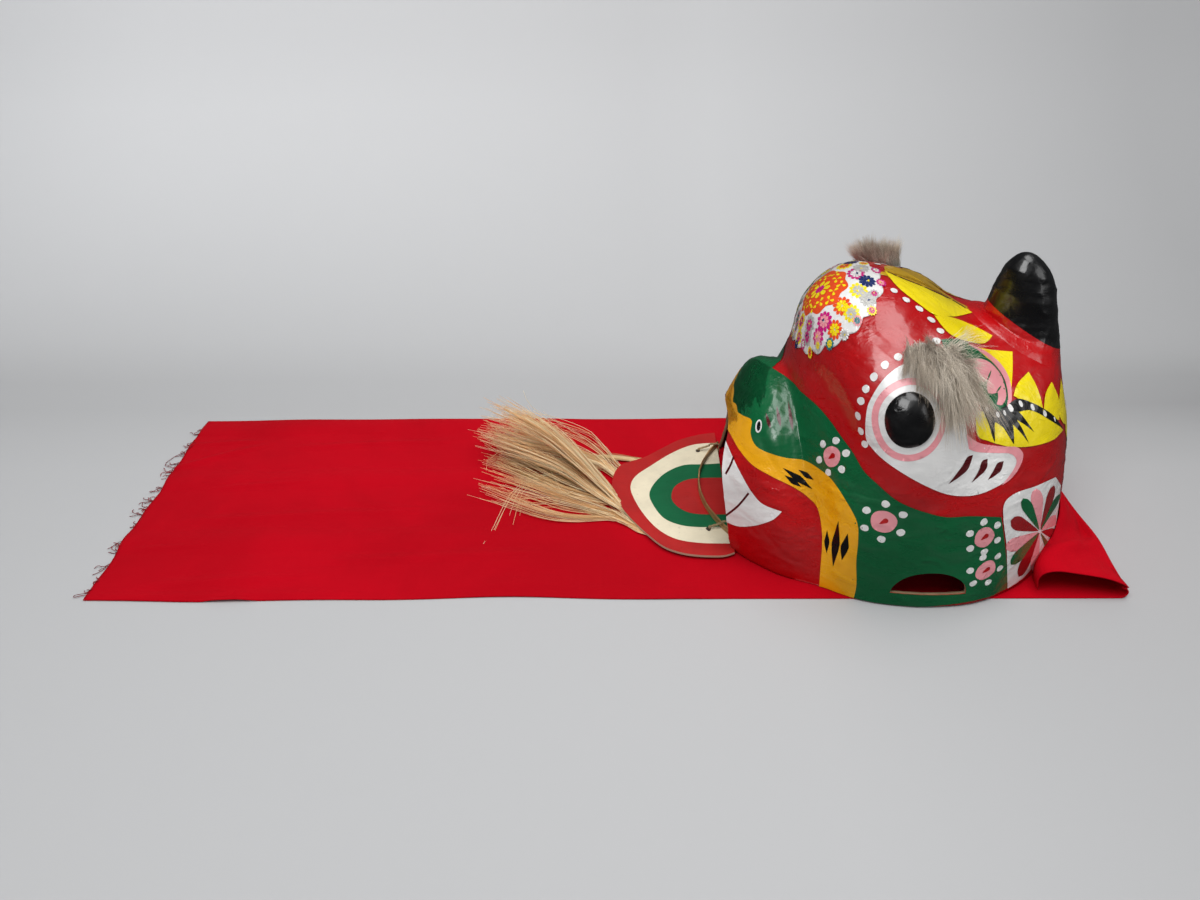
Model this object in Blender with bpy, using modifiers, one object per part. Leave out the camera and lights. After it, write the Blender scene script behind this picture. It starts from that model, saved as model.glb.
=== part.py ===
# Lion dance head: a moulded paper shell with fur eyebrows and a pasted forehead paper,
# a tied jaw board with its bamboo bow and hemp beard, and the body cloth that it stands on.
# Metres, +Z up. The lion faces -X. The origin is on the floor under the middle of the shell.
import math

import bmesh
import bpy
from mathutils import Vector
from mathutils.bvhtree import BVHTree

# Clearance between pieces that touch
GAP = 0.0003

# Body cloth
CLOTH_WIDTH = 0.253
CLOTH_FRONT = 0.638            # from the origin to the frayed front end
CLOTH_THICKNESS = 0.001
FOLD_X = 0.1430                # outside of the fold behind the head
FOLD_HEIGHT = 0.0100           # of the upper layer above the floor at the fold
WRAP_HEIGHT = 0.0280           # where the upper layer meets the back of the shell
WRAP_SHARE = 0.90              # of the cloth's width, at the shell
CLOTH_STATIONS = 16

# Paper shell, measured at its rim and above it
HEAD_LENGTH = 0.272
HEAD_WIDTH = 0.272
HEAD_HEIGHT = 0.212
SHELL_WALL = 0.0025
RIM_Z = CLOTH_THICKNESS + GAP
ROWS_PER_SECTION = 2
ARCH_STEPS = 40

# Arched sections from the mouth to the back. rim and top are places along X at the rim and
# on the crest, in shares of HEAD_LENGTH from the origin. width is a share of half of HEAD_WIDTH, height a
# share of HEAD_HEIGHT, and square is the exponent of the arch: 2 is an ellipse.
SECTION_COLUMNS = ("rim", "width", "top", "height", "square")
SECTIONS = {
    "mouth": (-0.518, 0.544, -0.547, 0.400, 2.4),
    "lip": (-0.489, 0.610, -0.518, 0.480, 2.2),
    "nose_front": (-0.452, 0.676, -0.479, 0.550, 2.15),
    "nose_top": (-0.408, 0.743, -0.435, 0.584, 1.95),
    "nose_ledge": (-0.362, 0.787, -0.399, 0.590, 1.75),
    "stop": (-0.325, 0.816, -0.375, 0.615, 1.6),
    "brow_front": (-0.285, 0.853, -0.359, 0.735, 1.6),
    "brow": (-0.255, 0.890, -0.328, 0.865, 1.75),
    "forehead": (-0.205, 0.941, -0.246, 0.945, 2.05),
    "forehead_back": (-0.136, 0.978, -0.143, 0.955, 2.2),
    "crown": (-0.033, 1.000, -0.033, 0.910, 2.2),
    "valley": (0.085, 0.980, 0.085, 0.850, 2.2),
    "horn_seat": (0.187, 0.900, 0.199, 0.818, 2.1),
    "nape": (0.280, 0.775, 0.301, 0.755, 2.0),
    "back_top": (0.363, 0.590, 0.373, 0.625, 2.0),
    "back": (0.423, 0.400, 0.415, 0.410, 2.0),
    "back_low": (0.464, 0.205, 0.456, 0.195, 2.0),
    "back_rim": (0.481, 0.000, 0.481, 0.000, 2.0),
}

# Raised and sunk forms on both flanks. along is a share of HEAD_LENGTH and up a share of
# HEAD_HEIGHT, length and height are half sizes in the same shares, tilt is in degrees from
# the level towards the back, and lift is in metres along the surface's normal.
RELIEF_COLUMNS = ("along", "up", "length", "height", "tilt", "lift")
RELIEFS = {
    "eye_mound": (-0.115, 0.640, 0.215, 0.270, -25, 0.0085),
    "pupil": (-0.138, 0.685, 0.085, 0.112, 0, 0.0045),
    "ear": (0.030, 0.800, 0.150, 0.085, -42, 0.0065),
    "muzzle_ridge": (-0.330, 0.420, 0.190, 0.130, -50, 0.0035),
    "cheek_crease": (-0.275, 0.600, 0.190, 0.075, -52, -0.0040),
}

# Horn on the crest: rings up from its seat, in shares of HORN_HEIGHT and HORN_RADIUS
HORN_ALONG = 0.2629             # place of its seat, a share of HEAD_LENGTH
HORN_UP = 0.7156                # height of its seat above the rim, a share of HEAD_HEIGHT
HORN_HEIGHT = 0.0665
HORN_RADIUS = 0.0315
HORN_LEAN = -0.0110            # from the seat's middle to the tip, along X
HORN_SEAT_SLOPE = 0.70         # fall of its seat towards the back
HORN_WALL = 0.0030
HORN_CORE_DROP = 0.0200        # of the hollow's cutter below the seat
HORN_SIDES = 24
HORN_COLUMNS = ("up", "radius")
HORN_RINGS = (
    (0.00, 1.00), (0.18, 0.88), (0.46, 0.73), (0.72, 0.56), (0.855, 0.41), (0.955, 0.22),
)

# Grip holes near the rim, one in each flank: an arch over a flat lower edge
GRIP_X = -0.0090
GRIP_WIDTH = 0.054
GRIP_HEIGHT = 0.020
GRIP_SILL = 0.0115             # from the rim up to the flat edge
GRIP_STEPS = 14

# Pasted paper on the forehead
PAPER_THICKNESS = 0.0010
PAPER_FROM, PAPER_TO = "stop", "forehead_back"
PAPER_TURN = 27                # degrees of the arch to each side of the crest
PAPER_SCALLOPS = 16
PAPER_SCALLOP_DEPTH = 0.07
PAPER_RINGS = 3
PAPER_GAP = 0.0006

# Jaw board
BOARD_LENGTH = 0.0965
BOARD_WIDTH = 0.180
BOARD_THICKNESS = 0.0020
BOARD_Y = 0.0060
BOARD_STEPS = 2                # of the smooth outline between two of its points
# Hand-cut outline from the back corner at +Y round the tip to the back corner at -Y: places
# forward of the back edge in shares of the length, and across in shares of the half width.
BOARD_OUTLINE = (
    (0.00, 0.972), (0.16, 0.933), (0.36, 0.833), (0.52, 0.690), (0.69, 0.533), (0.83, 0.450),
    (0.91, 0.400), (0.975, 0.267), (1.00, 0.060), (0.95, -0.200), (0.85, -0.444), (0.69, -0.711),
    (0.555, -0.878), (0.37, -0.967), (0.12, -0.989), (0.00, -0.944),
)
MOUTH_CLEARANCE = 0.0015       # from the shell's mouth edge to the board's back edge
HINGE_SETBACK = 0.0010         # from the board's back edge forward to the hinge line
TIE_DIAMETER = 0.0012
TIE_SPREAD = 0.0565            # each tie hole's distance from the board's middle
TIE_SETBACK = 0.0170           # of the tie holes from the board's back edge
TIE_HOLE_RADIUS = 0.0015

# Bamboo bow that lies on the board across the mouth
BOW_HEIGHT = 0.0060
BOW_THICKNESS = 0.0012
BOW_REACH = 0.0225             # how far its middle stands forward of its ends
BOW_SIDE_CLEARANCE = 0.0055
BOW_Y = 0.0040                 # its middle, from the head's
BOW_STEPS = 16

# Hemp beard: strips from a flat head under the board's tip. turn is in degrees from straight
# forward towards +Y, length a share of BEARD_LENGTH, rise a share of BEARD_RISE.
BEARD_LENGTH = 0.150
BEARD_RISE = 0.042
BEARD_HEAD_LENGTH = 0.030
BEARD_HEAD_WIDTH = 0.070
BEARD_HEAD_THICKNESS = 0.0014
BEARD_TUCK = 0.022             # of the head under the board's tip
STRIP_WIDTH = 0.016
STRIP_THICKNESS = 0.006
BEARD_COLUMNS = ("start", "turn", "length", "rise", "width")
BEARD_STRIPS = (
    (0.42, 18, 0.98, 0.35, 1.00),
    (0.30, 22, 0.97, 0.50, 1.00),
    (0.14, 27, 0.97, 0.75, 1.00),
    (-0.02, 32, 0.95, 0.95, 1.00),
    (-0.18, 36, 0.90, 1.00, 0.90),
    (-0.32, 27, 0.93, 0.15, 0.70),
    (-0.42, 20, 0.93, 0.06, 0.60),
)

# Fur eyebrows: locks on a backing glued to the flank. The row of roots runs from the front
# end to the back end, each a place in shares of HEAD_LENGTH along X and of HEAD_HEIGHT up
# from the rim.
BROW_FRONT = (-0.169, 0.811)
BROW_BACK = (0.000, 0.783)
BROW_BACKING_WIDTH = 0.014
BROW_BACKING_THICKNESS = 0.0025
BROW_GAP = 0.0012
LOCK_LENGTH = 0.044
LOCK_RADIUS = 0.0060
LOCK_ROOT = 0.30               # of its radius, where a lock leaves the backing
# place is a share of the row, out, down and back are parts of the lock's direction, size a
# share of LOCK_LENGTH, and droop is how far its tip hangs, in shares of its length.
LOCK_COLUMNS = ("place", "out", "down", "back", "size", "droop")
BROW_LOCKS = (
    (0.05, 1.00, -0.25, -0.50, 0.55, 0.10),
    (0.18, 1.00, 0.10, -0.30, 0.70, 0.20),
    (0.32, 0.90, 0.60, -0.10, 0.85, 0.30),
    (0.46, 0.70, 0.95, 0.00, 1.05, 0.30),
    (0.58, 0.60, 1.10, 0.08, 1.20, 0.25),
    (0.70, 0.60, 1.00, 0.22, 1.12, 0.25),
    (0.82, 0.65, 0.75, 0.42, 0.95, 0.25),
    (0.95, 0.75, 0.35, 0.60, 0.75, 0.20),
)

COLOURS = {
    "lacquer_red": ((0.56, 0.003, 0.008), 0.25),
    "printed_paper": ((0.80, 0.45, 0.30), 0.45),
    "grey_fur": ((0.42, 0.37, 0.32), 0.90),
    "board": ((0.74, 0.64, 0.46), 0.70),
    "bamboo": ((0.42, 0.24, 0.09), 0.50),
    "hemp": ((0.66, 0.50, 0.28), 0.80),
    "red_cotton": ((0.48, 0.004, 0.010), 0.90),
}


def clear_scene():
    for obj in list(bpy.data.objects):
        bpy.data.objects.remove(obj, do_unlink=True)


def make_materials():
    made = {}
    for name, (colour, roughness) in COLOURS.items():
        material = bpy.data.materials.new(name)
        material.use_nodes = True
        shader = material.node_tree.nodes["Principled BSDF"]
        shader.inputs["Base Color"].default_value = (*colour, 1.0)
        shader.inputs["Roughness"].default_value = roughness
        shader.inputs["Metallic"].default_value = 0.0
        made[name] = material
    return made


def new_collection(name):
    collection = bpy.data.collections.new(name)
    bpy.context.scene.collection.children.link(collection)
    return collection


clear_scene()
MATERIALS = make_materials()
PARTS = new_collection("lion_dance_head")
CUTTERS = new_collection("cutters")


def row_of(columns, values):
    return dict(zip(columns, values))


def add_mesh(name, points, faces, material=None, merge=0.0):
    bm = bmesh.new()
    verts = [bm.verts.new(p) for p in points]
    for face in faces:
        bm.faces.new([verts[i] for i in face])
    if merge:
        bmesh.ops.remove_doubles(bm, verts=bm.verts, dist=merge)
    bmesh.ops.recalc_face_normals(bm, faces=bm.faces)
    mesh = bpy.data.meshes.new(name)
    bm.to_mesh(mesh)
    bm.free()
    obj = bpy.data.objects.new(name, mesh)
    (PARTS if material else CUTTERS).objects.link(obj)
    if material:
        mesh.materials.append(MATERIALS[material])
    else:
        obj.hide_render = True
        obj.display_type = "WIRE"
    return obj


def grid_faces(rows, columns):
    return [(r * columns + c, r * columns + c + 1, (r + 1) * columns + c + 1, (r + 1) * columns + c)
            for r in range(rows - 1) for c in range(columns - 1)]


def tube_faces(rings, sides):
    walls = [(r * sides + s, r * sides + (s + 1) % sides,
              (r + 1) * sides + (s + 1) % sides, (r + 1) * sides + s)
             for r in range(rings - 1) for s in range(sides)]
    first = tuple(range(sides))
    last = tuple((rings - 1) * sides + s for s in range(sides))
    return walls + [first, last]


def add_boolean(obj, other, operation, self_crossing=False):
    modifier = obj.modifiers.new(operation.lower(), "BOOLEAN")
    modifier.operation = operation
    modifier.object = other
    modifier.solver = "EXACT"
    modifier.use_self = self_crossing


def evaluated_mesh(obj):
    return bpy.data.meshes.new_from_object(obj.evaluated_get(bpy.context.evaluated_depsgraph_get()))


def bake_modifiers(obj):
    mesh = evaluated_mesh(obj)
    obj.modifiers.clear()
    obj.data = mesh


def smooth_between(values, position):
    # Catmull-Rom through the table's rows, held at both ends
    last = len(values) - 1
    index = min(int(position), last - 1)
    t = position - index
    a, b, c, d = (values[min(max(index + k, 0), last)] for k in (-1, 0, 1, 2))
    return b + 0.5 * t * (c - a + t * (2 * a - 5 * b + 4 * c - d + t * (3 * (b - c) + d - a)))


def section_at(position):
    row = {name: smooth_between([values[i] for values in SECTIONS.values()], position)
           for i, name in enumerate(SECTION_COLUMNS)}
    row["width"] = max(row["width"], 0.0)
    row["height"] = max(row["height"], 0.0)
    return row


def arch_point(row, step):
    angle = math.pi * step / ARCH_STEPS
    power = 2.0 / row["square"]
    across = -math.copysign(abs(math.cos(angle)) ** power, math.cos(angle))
    up = max(math.sin(angle), 0.0) ** power
    along = row["rim"] + (row["top"] - row["rim"]) * up * up
    return Vector((along * HEAD_LENGTH,
                   across * row["width"] * HEAD_WIDTH / 2,
                   RIM_Z + up * row["height"] * HEAD_HEIGHT))


def relief_at(point):
    lift = 0.0
    for values in RELIEFS.values():
        relief = row_of(RELIEF_COLUMNS, values)
        along = point.x - relief["along"] * HEAD_LENGTH
        up = point.z - RIM_Z - relief["up"] * HEAD_HEIGHT
        turn = math.radians(relief["tilt"])
        forward = along * math.cos(turn) + up * math.sin(turn)
        square = -along * math.sin(turn) + up * math.cos(turn)
        reach = ((forward / (relief["length"] * HEAD_LENGTH)) ** 2
                 + (square / (relief["height"] * HEAD_HEIGHT)) ** 2)
        if reach < 1.0:
            lift += relief["lift"] * (1.0 - reach) ** 1.5
    # Nothing is raised on the crest, where the two flanks meet
    flank = min(abs(point.y) / (0.22 * HEAD_WIDTH), 1.0)
    return lift * flank * flank


def lifted_point(position, step, lift):
    # A point over the shell's outer surface, by section position and arch step
    place = arch_point(section_at(position), step)
    along = arch_point(section_at(position + 0.05), step) - arch_point(section_at(position - 0.05), step)
    around = arch_point(section_at(position), step + 0.1) - arch_point(section_at(position), step - 0.1)
    return place + along.cross(around).normalized() * (relief_at(place) + lift)


def shell_surface():
    rows = (len(SECTIONS) - 1) * ROWS_PER_SECTION + 1
    columns = ARCH_STEPS + 1
    points = [arch_point(section_at(r / ROWS_PER_SECTION), c)
              for r in range(rows) for c in range(columns)]
    normals = []
    for r in range(rows):
        for c in range(columns):
            along = (points[min(r + 1, rows - 1) * columns + c]
                     - points[max(r - 1, 0) * columns + c])
            around = (points[r * columns + min(c + 1, columns - 1)]
                      - points[r * columns + max(c - 1, 0)])
            normals.append(along.cross(around).normalized())
    for i, point in enumerate(points):
        lift = relief_at(point)
        if lift:
            points[i] = point + normals[i] * lift
    return points, rows, columns


def horn_points(inset, drop):
    points = []
    radius = HORN_RADIUS - inset
    height = HORN_HEIGHT - inset
    rings = ((-drop / height, HORN_RINGS[0][1]),) + HORN_RINGS if drop else HORN_RINGS
    for values in rings:
        ring = row_of(HORN_COLUMNS, values)
        centre = Vector((HORN_X + HORN_LEAN * max(ring["up"], 0.0), 0.0, HORN_Z + ring["up"] * height))
        for side in range(HORN_SIDES):
            angle = 2 * math.pi * side / HORN_SIDES
            fall = HORN_SEAT_SLOPE * math.cos(angle) * min(1.0 - ring["up"], 1.0)
            points.append(centre + radius * ring["radius"]
                          * Vector((math.cos(angle), math.sin(angle), -fall)))
    faces = tube_faces(len(rings), HORN_SIDES)
    tip = Vector((HORN_X + HORN_LEAN, 0.0, HORN_Z + height))
    faces.pop()
    first = (len(rings) - 1) * HORN_SIDES
    points.append(tip)
    faces += [(first + s, first + (s + 1) % HORN_SIDES, len(points) - 1) for s in range(HORN_SIDES)]
    return points, faces


def grip_cutter(name, side):
    outline = []
    for step in range(GRIP_STEPS + 1):
        angle = math.pi * step / GRIP_STEPS
        outline.append((GRIP_X + GRIP_WIDTH / 2 * math.cos(angle),
                        RIM_Z + GRIP_SILL + GRIP_HEIGHT * math.sin(angle)))
    near, far = side * 0.36 * HEAD_WIDTH, side * 0.60 * HEAD_WIDTH
    points = [Vector((x, y, z)) for y in (near, far) for x, z in outline]
    return add_mesh(name, points, tube_faces(2, len(outline)))


def build_shell():
    points, rows, columns = shell_surface()
    shell = add_mesh("head_shell", points, grid_faces(rows, columns), "lacquer_red", merge=1e-5)
    outside = BVHTree.FromObject(shell, bpy.context.evaluated_depsgraph_get())
    wall = shell.modifiers.new("wall", "SOLIDIFY")
    wall.thickness = SHELL_WALL
    wall.offset = -1.0
    bake_modifiers(shell)
    # The rim is trimmed level all round
    for vertex in shell.data.vertices:
        if vertex.co.z < RIM_Z + SHELL_WALL / 2:
            vertex.co.z = RIM_Z
    horn = add_mesh("horn_form", *horn_points(0.0, 0.0))
    core = add_mesh("horn_core", *horn_points(HORN_WALL, HORN_CORE_DROP))
    add_boolean(shell, horn, "UNION")
    add_boolean(shell, core, "DIFFERENCE")
    for name, side in (("grip_cutter_left", -1), ("grip_cutter_right", 1)):
        add_boolean(shell, grip_cutter(name, side), "DIFFERENCE")
    return outside


def build_forehead_paper():
    # A scalloped disc laid over the arches, from one named section to another
    names = list(SECTIONS)
    first, last = names.index(PAPER_FROM) + 0.6, names.index(PAPER_TO) - 0.1
    sectors = PAPER_SCALLOPS * 4
    reach = ARCH_STEPS * PAPER_TURN / 180
    points = []
    for ring in range(PAPER_RINGS + 1):
        for sector in range(sectors):
            angle = 2 * math.pi * sector / sectors
            edge = 1.0 - PAPER_SCALLOP_DEPTH * abs(math.cos(angle * PAPER_SCALLOPS / 2))
            radius = max(ring, 0.25) / PAPER_RINGS * edge
            position = (first + last) / 2 + (last - first) / 2 * radius * math.cos(angle)
            step = ARCH_STEPS / 2 + reach * radius * math.sin(angle)
            points.append(lifted_point(position, step, PAPER_GAP))
    walls = tube_faces(PAPER_RINGS + 1, sectors)
    paper = add_mesh("forehead_paper", points, walls[:-1], "printed_paper")
    # The two end caps of the tube are the disc's middle and its open outer edge
    wall = paper.modifiers.new("wall", "SOLIDIFY")
    wall.thickness = PAPER_THICKNESS
    wall.offset = math.copysign(1.0, sum(p.normal.z for p in paper.data.polygons))
    return paper


def board_outline():
    outline = []
    for step in range((len(BOARD_OUTLINE) - 1) * BOARD_STEPS + 1):
        along, across = (smooth_between([point[axis] for point in BOARD_OUTLINE], step / BOARD_STEPS)
                         for axis in (0, 1))
        outline.append((-BOARD_LENGTH * max(along, 0.0), BOARD_WIDTH / 2 * across))
    return outline


HORN_X = HORN_ALONG * HEAD_LENGTH
HORN_Z = RIM_Z + HORN_UP * HEAD_HEIGHT
MOUTH_X = SECTIONS["mouth"][SECTION_COLUMNS.index("rim")] * HEAD_LENGTH
BOARD_BACK = MOUTH_X - MOUTH_CLEARANCE
HINGE_X = BOARD_BACK - HINGE_SETBACK
TIE_RUN = TIE_DIAMETER + 2 * GAP
BOARD_Z = CLOTH_THICKNESS + TIE_RUN + GAP
HINGE_Z = BOARD_Z + BOARD_THICKNESS / 2
BOW_Z = BOARD_Z + BOARD_THICKNESS + GAP
TIE_X = BOARD_BACK - TIE_SETBACK


def build_board():
    flat = board_outline()
    points = [Vector((BOARD_BACK + x, BOARD_Y + y, BOARD_Z + z))
              for z in (0.0, BOARD_THICKNESS) for x, y in flat]
    board = add_mesh("jaw_board", points, tube_faces(2, len(flat)), "board")
    for name, side in (("tie_hole_left", -1), ("tie_hole_right", 1)):
        ring = [(TIE_X + TIE_HOLE_RADIUS * math.cos(2 * math.pi * s / 12),
                 BOARD_Y + side * TIE_SPREAD + TIE_HOLE_RADIUS * math.sin(2 * math.pi * s / 12))
                for s in range(12)]
        cutter = add_mesh(name, [Vector((x, y, z))
                                 for z in (BOARD_Z - BOARD_THICKNESS, BOARD_Z + 2 * BOARD_THICKNESS)
                                 for x, y in ring], tube_faces(2, 12))
        add_boolean(board, cutter, "DIFFERENCE")
    return board


def mouth_half_width():
    return SECTIONS["mouth"][SECTION_COLUMNS.index("width")] * HEAD_WIDTH / 2 - SHELL_WALL


def bow_x(y):
    half = mouth_half_width() - BOW_SIDE_CLEARANCE
    return BOARD_BACK + GAP - BOW_REACH * (1.0 - (y / half) ** 2)


def build_bow():
    half = mouth_half_width() - BOW_SIDE_CLEARANCE
    points = []
    for step in range(BOW_STEPS + 1):
        y = half * (2 * step / BOW_STEPS - 1)
        points += [Vector((bow_x(y), BOW_Y + y, BOW_Z + z)) for z in (0.0, BOW_HEIGHT)]
    bow = add_mesh("bamboo_bow", points, grid_faces(BOW_STEPS + 1, 2), "bamboo")
    wall = bow.modifiers.new("wall", "SOLIDIFY")
    wall.thickness = BOW_THICKNESS
    wall.offset = 0.0
    return bow


def build_tie(name, side):
    # A loop of string: down through the board's hole, under its back edge and over the bow
    y = BOARD_Y + side * TIE_SPREAD
    radius = TIE_DIAMETER / 2
    low = BOARD_Z - GAP - radius
    high = BOW_Z + BOW_HEIGHT + GAP + radius
    front = TIE_X
    back = BOARD_BACK + GAP + radius
    corner = 1.6 * TIE_DIAMETER
    loop = []
    for cx, cz, start in ((back - corner, high - corner, 0), (front + corner, high - corner, 90),
                          (front + corner, low + corner, 180), (back - corner, low + corner, 270)):
        for step in range(4):
            angle = math.radians(start + 30 * step)
            loop.append((cx + corner * math.cos(angle), y, cz + corner * math.sin(angle)))
    curve = bpy.data.curves.new(name, "CURVE")
    curve.dimensions = "3D"
    curve.bevel_depth = radius
    curve.bevel_resolution = 2
    spline = curve.splines.new("POLY")
    spline.points.add(len(loop) - 1)
    for point, place in zip(spline.points, loop):
        point.co = (*place, 1.0)
    spline.use_cyclic_u = True
    curve.materials.append(MATERIALS["hemp"])
    tie = bpy.data.objects.new(name, curve)
    PARTS.objects.link(tie)
    return tie


def lock_points(root, direction, length, widths, across, droop, sides, rings):
    # A tapered strip that leaves its root along direction and hangs by droop at its tip
    points = []
    for ring in range(rings + 1):
        share = ring / rings
        centre = root + direction * length * share - Vector((0, 0, droop * length * share * share))
        taper = (1.0 - 0.82 * share ** 1.4) * (LOCK_ROOT + (1.0 - LOCK_ROOT) * min(share * 4, 1.0))
        side = across.normalized()
        up = direction.cross(side).normalized()
        for s in range(sides):
            angle = 2 * math.pi * s / sides
            points.append(centre + side * widths[0] * taper * math.cos(angle)
                          + up * widths[1] * taper * math.sin(angle))
    return points, tube_faces(rings + 1, sides)


def join_forms(name, forms):
    points, faces = [], []
    for form_points, form_faces in forms:
        shift = len(points)
        points += form_points
        faces += [tuple(i + shift for i in face) for face in form_faces]
    return add_mesh(name, points, faces)


def build_beard():
    # The flat head is under the board, and the strips fan out from it over the cloth
    front = BOARD_BACK - BOARD_LENGTH
    top = BOARD_Z - GAP
    head_x = front + BEARD_TUCK
    low = CLOTH_THICKNESS + GAP
    half = BEARD_HEAD_WIDTH / 2
    head_points = [Vector((head_x - x, BOARD_Y + y, z))
                   for z in (top - BEARD_HEAD_THICKNESS, top)
                   for x, y in ((0, -half * 0.8), (BEARD_HEAD_LENGTH, -half),
                                (BEARD_HEAD_LENGTH, half), (0, half * 0.8))]
    beard = add_mesh("hemp_beard", head_points, tube_faces(2, 4), "hemp")
    forms = []
    for values in BEARD_STRIPS:
        strip = row_of(BEARD_COLUMNS, values)
        turn = math.radians(strip["turn"])
        length = BEARD_LENGTH * strip["length"]
        forward = Vector((-math.cos(turn), math.sin(turn), 0.0))
        across = Vector((math.sin(turn), math.cos(turn), 0.0))
        root = Vector((head_x - BEARD_HEAD_LENGTH * 0.55, BOARD_Y + strip["start"] * BEARD_HEAD_WIDTH,
                       top - BEARD_HEAD_THICKNESS / 2))
        rise = strip["rise"] * BEARD_RISE
        points = []
        rings = 7
        for ring in range(rings + 1):
            share = ring / rings
            centre = root + forward * length * share
            # A strip stays under the board until it is past the tip, then springs up
            out = max(share - 0.16, 0.0) / 0.84
            thick = STRIP_THICKNESS / 2 * (0.12 if share < 0.16 else min(out * 5, 1.0) * (1 - 0.8 * out))
            thick = max(thick, BEARD_HEAD_THICKNESS * 0.4)
            wide = STRIP_WIDTH / 2 * strip["width"] * (0.8 + 0.5 * math.sin(math.pi * share)) * (1 - 0.7 * share ** 3)
            centre.z = max(centre.z + rise * out ** 1.3, low + thick)
            for s in range(8):
                angle = 2 * math.pi * s / 8
                points.append(centre + across * wide * math.cos(angle)
                              + Vector((0, 0, thick * math.sin(angle))))
        forms.append((points, tube_faces(rings + 1, 8)))
    add_boolean(beard, join_forms("beard_strips", forms), "UNION", self_crossing=True)
    return beard


def flank_hit(outside, x, z, side):
    place, normal, _, _ = outside.ray_cast(Vector((x, side * HEAD_WIDTH, z)), Vector((0, -side, 0)))
    if normal.y * side < 0:
        normal = -normal
    return place, normal


def build_eyebrow(name, side, outside):
    steps = 8
    front, back = (Vector((along * HEAD_LENGTH, 0, up * HEAD_HEIGHT))
                   for along, up in (BROW_FRONT, BROW_BACK))
    row = back - front
    down = Vector((0, side, -1)).normalized()
    points = []
    for step in range(steps + 1):
        share = step / steps
        spot = front + row * share
        root, normal = flank_hit(outside, spot.x, RIM_Z + spot.z, side)
        along = Vector((row.x, 0, row.z)).normalized()
        cross = normal.cross(along).normalized()
        taper = 0.45 + 0.55 * math.sin(math.pi * share) ** 0.5
        for half in (-0.5, 0.0, 0.5):
            near, near_normal, _, _ = outside.find_nearest(root + cross * BROW_BACKING_WIDTH * half * taper)
            if near_normal.y * side < 0:
                near_normal = -near_normal
            points.append(near + near_normal * BROW_GAP)
    backing = add_mesh(name, points, grid_faces(steps + 1, 3), "grey_fur")
    facing = sum(v.normal.y for v in backing.data.vertices) * side
    wall = backing.modifiers.new("wall", "SOLIDIFY")
    wall.thickness = BROW_BACKING_THICKNESS
    wall.offset = math.copysign(1.0, facing)
    forms = []
    for values in BROW_LOCKS:
        lock = row_of(LOCK_COLUMNS, values)
        spot = front + row * lock["place"]
        root, normal = flank_hit(outside, spot.x, RIM_Z + spot.z, side)
        length = LOCK_LENGTH * lock["size"]
        direction = (normal * lock["out"] + down * lock["down"]
                     + Vector((lock["back"], 0, 0))).normalized()
        start = root + normal * (BROW_GAP + BROW_BACKING_THICKNESS / 2 + LOCK_RADIUS * LOCK_ROOT / 2)
        across = direction.cross(normal)
        if across.length < 0.1:
            across = Vector((1, 0, 0)).cross(direction)
        forms.append(lock_points(start, direction, length, (LOCK_RADIUS, LOCK_RADIUS * 0.8),
                                 across, lock["droop"], 7, 5))
    add_boolean(backing, join_forms(name + "_locks", forms), "UNION", self_crossing=True)
    return backing


def cloth_profile(y_share, outside):
    # Underside of the cloth from its front end, round the fold and up to the shell's back
    radius = FOLD_HEIGHT / 2
    flat_end = FOLD_X - radius
    y = y_share * CLOTH_WIDTH / 2
    line = [(-CLOTH_FRONT + (flat_end + CLOTH_FRONT) * step / 12, y, 0.0) for step in range(13)]
    for step in range(1, 8):
        angle = math.pi * step / 8
        line.append((flat_end + radius * math.sin(angle), y, radius * (1 - math.cos(angle))))
    wrap_y = y * WRAP_SHARE
    hit = outside.ray_cast(Vector((HEAD_LENGTH, wrap_y, WRAP_HEIGHT)), Vector((-1, 0, 0)))[0]
    wall_x = hit.x + CLOTH_THICKNESS + 3 * GAP
    for step in range(7):
        share = step / 6
        ease = share * share * (3 - 2 * share)
        line.append((flat_end + (wall_x - flat_end) * share,
                     y + (wrap_y - y) * ease,
                     FOLD_HEIGHT + (WRAP_HEIGHT - FOLD_HEIGHT) * ease))
    return [Vector(p) for p in line]


def build_cloth(outside):
    stations = [cloth_profile(2 * s / CLOTH_STATIONS - 1, outside) for s in range(CLOTH_STATIONS + 1)]
    count = len(stations[0])
    cloth = add_mesh("body_cloth", [p for station in stations for p in station],
                     grid_faces(CLOTH_STATIONS + 1, count), "red_cotton")
    flat_normal = cloth.data.polygons[0].normal.z
    wall = cloth.modifiers.new("wall", "SOLIDIFY")
    wall.thickness = CLOTH_THICKNESS
    wall.offset = math.copysign(1.0, flat_normal)
    return cloth


def build_head():
    outside = build_shell()
    build_forehead_paper()
    build_eyebrow("eyebrow_left", -1, outside)
    build_eyebrow("eyebrow_right", 1, outside)
    build_cloth(outside)
    build_board()
    build_bow()
    build_tie("tie_left", -1)
    build_tie("tie_right", 1)
    build_beard()


build_head()
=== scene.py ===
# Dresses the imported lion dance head: painted paper skin, horn, fur, jaw board, beard and cloth.
# Metres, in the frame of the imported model. The lion faces -X and the camera looks along +Y.
import math

import bmesh
import bpy
import numpy as np
from mathutils import Euler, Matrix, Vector
from mathutils.bvhtree import BVHTree
from mathutils.geometry import barycentric_transform, delaunay_2d_cdt


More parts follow.
